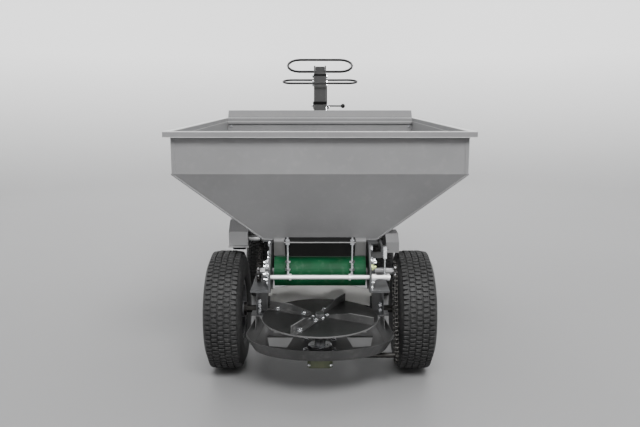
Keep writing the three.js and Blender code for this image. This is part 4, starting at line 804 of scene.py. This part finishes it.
# %% [markdown]
# ## Bolts, nuts and rings on the frame
#
# Side plates, bearings, legs, pan and gear housing are bolted so that worn pieces can be changed.
# The bolts are zinc plated and so are the brightest marks on the dark frame. Each row below names
# the carrier, the side it is seen from, the place on that side and a size, where 1.0 stands for an
# 8 mm bolt. A few rows end with where the line of sight starts.

# %% Frame bolts
LEFT = "side_plate_left"
RIGHT = "side_plate_right"
frame_bolts = [
    (LEFT, "-x", -150, 390, 1.0),
    (LEFT, "-x", -128, 410, 1.0),
    (LEFT, "-x", -176, 328, 0.9),
    (LEFT, "-x", -66, 426, 1.4),
    (RIGHT, "+x", -118, 424, 1.3),
    (RIGHT, "+x", -128, 386, 1.0),
    (RIGHT, "+x", -176, 318, 0.9),
    (LEFT, "-x", 240, 400, 0.9),
    (LEFT, "-x", 400, 400, 0.9),
    (RIGHT, "+x", 240, 400, 0.9),
    (RIGHT, "+x", 400, 400, 0.9),
    ("hopper", "-y", -414, 745, 0.8, 600),
    ("hopper", "-y", 414, 745, 0.8, 600),
]
LEG_X = 194
LEG_BOLTS = {-1: (236, 221, 206), 1: (224, 206)}
for side, name in ((-1, "left"), (1, "right")):
    for z in LEG_BOLTS[side]:
        frame_bolts.append(("guard_pan spinner_leg_" + name, "-y", side * LEG_X, z, 0.95))
    for z in (88, 116):
        frame_bolts.append(("gear_housing", "-y", side * 32, z, 0.55))
    for y in (-227, -143):
        frame_bolts.append(("guard_pan", "+z", side * 43, y, 1.0))
scatter("frame_bolts", "machine_frame", bolt_head, seated(frame_bolts), ZINC)

# %% Frame studs
studs = [
    (LEFT, "-x", -186, 384, 1.1),
    ("rear_roller_bearing_left", "-x", -100, 374, 1.0),
    ("rear_roller_bearing_left", "-x", -100, 320, 1.0),
    ("rear_roller_bearing_right", "+x", -100, 374, 1.0),
    ("rear_roller_bearing_right", "+x", -100, 320, 1.0),
    (LEFT, "-x", -186, 360, 1.2),
    (LEFT, "-x", -140, 330, 1.0),
    (LEFT, "-x", -60, 380, 1.0),
    (RIGHT, "+x", -172, 398, 1.0),
    (RIGHT, "+x", -150, 396, 1.0),
    (RIGHT, "+x", -140, 322, 1.0),
]
scatter("frame_studs", "machine_frame", nut_on_stud, seated(studs), ZINC)
passivated = [(RIGHT, "+x", -150, 370, 1.1), (RIGHT, "+x", -190, 384, 1.0)]
scatter("yellow_nuts", "machine_frame", nut_on_stud, seated(passivated), YELLOW)

# %% [markdown]
# ## Bolts on the spinner
#
# Each vane is bolted down through its foot in two places, and four bolts hold the disc to its hub.
# The vanes stand a quarter turn apart, so one vane's bolts are turned four times. A steel ring on
# the pan keeps the sand out of the bearing.

# %% Spinner hardware
SPINNER_Y = -185
VANE_TURN = -28
VANE_REACHES = (50.3, 143.1)
VANE_BOLT_SIDE = 11.5
FOOT_TOP = 232.3
HUB_TURN = 20
HUB_REACH = 23

disc_bolts = []
for k in range(4):
    turn = Matrix.Rotation(math.radians(90 * k + VANE_TURN), 3, "Z")
    for reach in VANE_REACHES:
        x, y, _ = turn @ Vector((reach, VANE_BOLT_SIDE, 0))
        disc_bolts.append((at(x, y + SPINNER_Y, FOOT_TOP), (0, 0, 0.4), (1.05, 1.05, 1.05)))
hub_bolts = []
for k in range(4):
    turn = math.radians(90 * k + HUB_TURN)
    x, y = HUB_REACH * math.cos(turn), HUB_REACH * math.sin(turn)
    hub_bolts.append(("spinner_disc spinner_shaft", "+z", x, y + SPINNER_Y, 0.8))
scatter("disc_bolts", "spinner", bolt_head, disc_bolts + seated(hub_bolts), ZINC)

pan_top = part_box("spinner_bearing")[0].z
flange = [(Vector((0, AXLE_Y + SPINNER_Y * MM, pan_top)), (0, 0, 0), (1, 1, 1))]
scatter("bearing_flange", "machine_frame", flange_ring, flange, ZINC)

# %% [markdown]
# ## The head of the drawbar
#
# A clamp block fills the fork and grips the loop handle, and bolts go through the post below it. A
# collar further down stiffens the tube, and clips hold the cable beside it. The post leans
# forwards, so its pieces are built upright at its hinge and then leaned with it, which keeps their
# sizes plain.

# %% Drawbar blocks
POST_HINGE = (0, 930, 198)
POST_LEAN = math.radians(-22)
POST_TURN = Matrix.Rotation(POST_LEAN, 4, "X")
COLLAR_WIDTH = 68
COLLAR_UP = 690


def on_post(x, y, up):
    """A place on the leaning post: across it, in front of it and up along it, in millimetres."""
    return at(*POST_HINGE) + POST_TURN @ (Vector((x, y, up)) * MM)


def rounded_block(name, sizes, bevel, up, finish):
    """A block with rounded edges, on the axis of the post and so far up it."""
    shape = bmesh.new()
    bmesh.ops.create_cube(shape, size=1)
    bmesh.ops.scale(shape, vec=Vector(sizes) * MM, verts=shape.verts)
    bmesh.ops.bevel(
        shape,
        geom=list(shape.edges),
        offset=bevel * MM,
        segments=3,
        affect="EDGES",
        profile=0.6,
    )
    place = Matrix.Translation(on_post(0, 0, up)) @ POST_TURN
    bmesh.ops.transform(shape, matrix=place, verts=shape.verts)
    mesh = bpy.data.meshes.new(name)
    shape.to_mesh(mesh)
    shape.free()
    mesh.materials.append(finish)
    return add_piece(name, mesh, "drawbar")


rounded_block("handle_clamp", (45, 30, 38), 3, 869, POST)
rounded_block("post_collar", (COLLAR_WIDTH, COLLAR_WIDTH, 14), 3, COLLAR_UP, MATT)
rounded_block("post_band", (64, 64, 9), 2, 836, MATT)
print("blocks on the post: 3")

# %% Drawbar bolts and clips
POST_BOLTS_UP = (812, 843, 798)
CLIPS_UP = (480, 360, 240)
CABLE_X = 32.8

post_bolts = []
for up in POST_BOLTS_UP:
    _, y, z = on_post(0, 0, up)
    for side in ("-x", "+x"):
        post_bolts.append(("drawbar_post", side, (y - AXLE_Y) / MM, z / MM, 1.15))
collar_bolts = []
for side in (-1, 1):
    turn = Vector((side, 0, 0)).to_track_quat("Z", "Y").to_euler()
    collar_bolts.append((on_post(side * COLLAR_WIDTH / 2, 0, COLLAR_UP), turn, (1, 1, 1)))
scatter("post_bolts", "drawbar", bolt_head, seated(post_bolts) + collar_bolts, ZINC)

clips = [(on_post(CABLE_X, 0, up), (POST_LEAN, 0, 0), (1, 1, 1)) for up in CLIPS_UP]
scatter("cable_clips", "drawbar", cable_clip, clips, BLACK)

# %% [markdown]
# ## Weld beads and threads
#
# The four walls of the hopper are flat sheets that meet on slanting edges. Each edge is welded on
# the outside, and a weld is a row of small overlapping ripples. The gate hangs on two threaded
# rods, so that its height can be set with nuts. A true thread is a helix, but one ring for each
# turn of it looks the same at this size, and both are copies along a line.

# %% Welds
CREASE_X, CREASE_Z = 431, 659
OUTLET_X, OUTLET_Z = 180, 443
CREASE_AND_OUTLET_Y = ((-181, -70), (1011, 590))
RIPPLE_STEP = 3.6


def along(first, last, step):
    """Places on a line, a step in millimetres apart, the model's own height lying along it."""
    way = last - first
    turn = way.to_track_quat("Z", "Y").to_euler()
    count = max(2, int(way.length / (step * MM)))
    return [(first + way * (k / count), turn, (1, 1, 1)) for k in range(count + 1)]


beads = []
for side in (-1, 1):
    for crease_y, outlet_y in CREASE_AND_OUTLET_Y:
        top = at(side * CREASE_X, crease_y, CREASE_Z)
        foot = at(side * OUTLET_X, outlet_y, OUTLET_Z)
        beads += along(top, foot, RIPPLE_STEP)
scatter("hopper_welds", "machine_frame", weld_ripple, beads, HOPPER)

# %% Threads
ROD_X, ROD_Y = 97, -154.3
THREAD_STEP = 1.25
THREADED = ((395, 441), (459, 464))

threads = []
for side in (-1, 1):
    for low_end, high_end in THREADED:
        foot = at(side * ROD_X, ROD_Y, low_end)
        threads += along(foot, at(side * ROD_X, ROD_Y, high_end), THREAD_STEP)
scatter("rod_threads", "gate", thread_ring, threads, STEEL)

# %% [markdown]
# ## Roller chain
#
# A chain is made of narrow and wide links in turn. The pitch, from pin to pin, is 12.7 mm. The run
# follows two sprockets and the straight lines that touch both. A Curve modifier would bend the
# stiff links, so each link stays straight and only its place and turn follow the run.

# %% One chain link
CHAIN_PITCH = 12.7
PLATE_HEIGHT = 9
PLATE_THICKNESS = 1.1
PLATE_WAIST = 0.36
PLATE_STEPS = 8
PIN_SIDES = 8


def plate_prism(shape, x0, x1):
    """A link plate: an oval with a waist, cut from sheet, lying in the YZ plane."""
    outline = []
    radius = PLATE_HEIGHT / 2
    for end in (1, -1):
        for k in range(PLATE_STEPS + 1):
            angle = math.pi * k / PLATE_STEPS - end * math.pi / 2
            middle = end * CHAIN_PITCH / 2
            outline.append((middle + radius * math.cos(angle), radius * math.sin(angle)))
        outline.append((0, end * PLATE_HEIGHT * PLATE_WAIST))
    near = [shape.verts.new((x0 * MM, y * MM, z * MM)) for y, z in outline]
    far = [shape.verts.new((x1 * MM, y * MM, z * MM)) for y, z in outline]
    shape.faces.new(near)
    shape.faces.new(far)
    for k in range(len(near)):
        after = (k + 1) % len(near)
        shape.faces.new((near[k], near[after], far[after], far[k]))


def pin_prism(shape, y, radius, reach):
    ends = []
    for x in (-reach, reach):
        ring = []
        for k in range(PIN_SIDES):
            angle = 2 * math.pi * k / PIN_SIDES
            place = (x * MM, (y + radius * math.cos(angle)) * MM, radius * math.sin(angle) * MM)
            ring.append(shape.verts.new(place))
        ends.append(ring)
        shape.faces.new(ring)
    for k in range(PIN_SIDES):
        after = (k + 1) % PIN_SIDES
        shape.faces.new((ends[0][k], ends[0][after], ends[1][after], ends[1][k]))


def link_model(name, plate_at, roller_radius, reach):
    """Two plates, so far from the middle, and two pins or rollers that reach to both sides."""
    shape = bmesh.new()
    for side in (-1, 1):
        plate_prism(shape, side * plate_at, side * (plate_at + PLATE_THICKNESS))
    for y in (-CHAIN_PITCH / 2, CHAIN_PITCH / 2):
        pin_prism(shape, y, roller_radius, reach)
    bmesh.ops.recalc_face_normals(shape, faces=shape.faces)
    mesh = bpy.data.meshes.new(name)
    shape.to_mesh(mesh)
    shape.free()
    return bpy.data.objects.new(name, mesh)


wide_link = link_model("wide_link", plate_at=4.1, roller_radius=1.6, reach=5.6)
narrow_link = link_model("narrow_link", plate_at=2.8, roller_radius=2.6, reach=2.9)
print("faces in a link:", len(wide_link.data.polygons))


# %% Chain run
WRAP_STEPS = 24


def chain_run(first, second):
    """Points along a chain round two circles, given as (y, z, radius), all one pitch apart."""
    (y0, z0, r0), (y1, z1, r1) = first, second
    span = math.hypot(y1 - y0, z1 - z0)
    heading = math.atan2(z1 - z0, y1 - y0)
    lean = math.acos((r0 - r1) / span)
    path = []
    for k in range(WRAP_STEPS + 1):
        angle = heading + lean + (2 * math.pi - 2 * lean) * k / WRAP_STEPS
        path.append((y0 + r0 * math.cos(angle), z0 + r0 * math.sin(angle)))
    for k in range(WRAP_STEPS + 1):
        angle = heading - lean + 2 * lean * k / WRAP_STEPS
        path.append((y1 + r1 * math.cos(angle), z1 + r1 * math.sin(angle)))
    path.append(path[0])
    lengths = [math.dist(a, b) for a, b in zip(path, path[1:])]
    total = sum(lengths)
    count = 2 * round(total / CHAIN_PITCH / 2)
    points = []
    for k in range(count):
        left = total * k / count
        index = 0
        while left > lengths[index]:
            left -= lengths[index]
            index += 1
        share = left / lengths[index]
        a, b = path[index], path[index + 1]
        points.append((a[0] + (b[0] - a[0]) * share, a[1] + (b[1] - a[1]) * share))
    return points


print("links round two circles, 200 mm apart:", len(chain_run((0, 0, 30), (200, 0, 20))))

# %% Both chains
# Each sprocket's depth, height and radius of its pitch circle.
ROLLER_SPROCKET = (-100, 347, 29)
DRIVE_SPROCKET = (60, 417, 19)
INPUT_SPROCKET = (SPINNER_Y, 105, 23)


def chain(name, node, x, first, second):
    """Links round two circles at one x, standing for the plain chain of the CAD model."""
    points = chain_run(first, second)
    rows = []
    for a, b in zip(points, points[1:] + points[:1]):
        middle = at(x, (a[0] + b[0]) / 2, (a[1] + b[1]) / 2)
        turn = math.atan2(b[1] - a[1], b[0] - a[0])
        rows.append((middle, (turn, 0, 0), (1, math.dist(a, b) / CHAIN_PITCH, 1)))
    wide = copies_of(wide_link, rows[::2], CHAIN, name + "_wide")
    narrow = copies_of(narrow_link, rows[1::2], CHAIN, name + "_narrow")
    both = bmesh.new()
    both.from_mesh(wide)
    both.from_mesh(narrow)
    both.to_mesh(wide)
    both.free()
    piece = add_piece(name, wide, "machine_frame")
    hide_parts(node)
    print(name, "links:", len(rows))


chain("conveyor_chain_links", "conveyor_chain", -190, ROLLER_SPROCKET, DRIVE_SPROCKET)
chain("spinner_chain_links", "spinner_chain", 232, ROLLER_SPROCKET, INPUT_SPROCKET)

# %% [markdown]
# ## Turf tyres
#
# A turf tyre has shallow brick-shaped blocks in many rows, so that it doesn't cut the grass. A bump
# would show them on the face but not on the outline, so they are real. The casing is a profile
# turned round the axle, and each row of blocks is laid on it, half a block on from the row before.

# %% Tyre casing
CASING_SIDES = 90
# From the bead to the middle of the tread: how far up, and how far out from the middle.
CASING = [
    (0.00, 0.82),
    (0.06, 0.885),
    (0.14, 0.945),
    (0.28, 0.99),
    (0.34, 1.0),
    (0.37, 0.985),
    (0.56, 1.0),
    (0.70, 0.97),
    (0.80, 0.91),
    (0.89, 0.82),
    (0.945, 0.72),
    (0.98, 0.61),
    (0.995, 0.5),
    (1.0, 0.3),
    (1.0, 0.0),
]
WIDEST = 6


def casing_reach(share):
    """How far up the casing lies at a share of the half width, in shares of its depth."""
    for (up0, out0), (up1, out1) in zip(CASING[WIDEST:], CASING[WIDEST + 1 :]):
        if out1 <= share <= out0:
            return up0 + (up1 - up0) * (out0 - share) / (out0 - out1)
    return 1.0


def casing_mesh(shape, middle, radius, half, bead):
    outline = [(bead + up * (radius - bead), out * half) for up, out in CASING]
    outline += [(r, -x) for r, x in reversed(outline[:-1])]
    rings = []
    for r, x in outline:
        ring = []
        for k in range(CASING_SIDES):
            angle = 2 * math.pi * k / CASING_SIDES
            place = Vector((x, r * math.cos(angle), r * math.sin(angle)))
            ring.append(shape.verts.new(middle + place))
        rings.append(ring)
    rings.append(rings[0])
    for first, second in zip(rings, rings[1:]):
        for k in range(CASING_SIDES):
            after = (k + 1) % CASING_SIDES
            face = shape.faces.new((first[k], first[after], second[after], second[k]))
            face.smooth = True


print("casing points:", len(CASING))

# %% [markdown]
# ## One block of tread
#
# A block is a brick whose top edges are worn round. Its foot goes into the casing as deep as the
# block is high, so that no gap shows where the casing curves. It is one unit wide, long and high,
# and its copies are scaled to the size of each tyre.

# %% Tread block
# From the foot up: the height of each ring, and across and along to one of its corners.
BLOCK_STEPS = [(-1, -0.5, -0.5), (0.55, -0.5, -0.5), (0.82, -0.47, -0.46), (1, -0.4, -0.38)]


def tread_block(name):
    shape = bmesh.new()
    rings = []
    for height, x, y in BLOCK_STEPS:
        corners = [(x, y), (-x, y), (-x, -y), (x, -y)]
        rings.append([shape.verts.new((a, b, height)) for a, b in corners])
    shape.faces.new(rings[0])
    shape.faces.new(rings[-1])
    for low_ring, high_ring in zip(rings, rings[1:]):
        for k in range(4):
            after = (k + 1) % 4
            shape.faces.new((low_ring[k], low_ring[after], high_ring[after], high_ring[k]))
    bmesh.ops.recalc_face_normals(shape, faces=shape.faces)
    mesh = bpy.data.meshes.new(name)
    shape.to_mesh(mesh)
    shape.free()
    return bpy.data.objects.new(name, mesh)


brick = tread_block("tyre_brick")
print("faces in a block:", len(brick.data.polygons))

# %% Tyres
TREAD_SHARE = 0.81
BLOCK_WIDTH = 0.88
BLOCK_LENGTH = 0.7
SHOULDER = 0.45
SHOULDER_LEAN = 0.75


def tread_places(middle, radius, half, bead, depth, pitches, rows):
    """Places of all blocks; the outer rows lean over the shoulders of the casing."""
    casing = radius - depth
    pitch = 2 * math.pi / pitches
    across = 2 * TREAD_SHARE * half / rows
    size = (BLOCK_WIDTH * across, BLOCK_LENGTH * pitch * radius, depth)
    places = []
    for row in range(rows):
        out = (row - (rows - 1) / 2) * across
        share = abs(out) / half
        reach = bead + casing_reach(share) * (casing - bead)
        lean = SHOULDER_LEAN * max(0.0, share - SHOULDER) * (1 if out > 0 else -1)
        for k in range(pitches):
            angle = pitch * (k + (0.5 if row % 2 else 0))
            place = Vector((out, -reach * math.sin(angle), reach * math.cos(angle)))
            turn = Matrix.Rotation(angle, 3, "X") @ Matrix.Rotation(lean, 3, "Y")
            places.append((middle + place, turn.to_euler(), size))
    return places


def tyre(node, bead, depth, pitches, rows):
    low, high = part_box(node)
    middle = (low + high) / 2
    radius = (high.z - low.z) / 2
    half = (high.x - low.x) / 2
    shape = bmesh.new()
    casing_mesh(shape, middle, radius - depth, half, bead)
    places = tread_places(middle, radius, half, bead, depth, pitches, rows)
    shape.from_mesh(copies_of(brick, places, TYRE, node + "_blocks"))
    bmesh.ops.recalc_face_normals(shape, faces=shape.faces)
    mesh = bpy.data.meshes.new(node + "_turf")
    shape.to_mesh(mesh)
    shape.free()
    mesh.materials.append(TYRE)
    piece = add_piece(node + "_turf", mesh, node.replace("tyre", "wheel"))
    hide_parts(node)
    print(node, "blocks:", len(places), "radius:", round(radius, 4))


for side in ("left", "right"):
    tyre("rear_tyre_" + side, bead=101.3 * MM, depth=5.5 * MM, pitches=76, rows=5)
    tyre("front_tyre_" + side, bead=68.3 * MM, depth=5 * MM, pitches=58, rows=5)
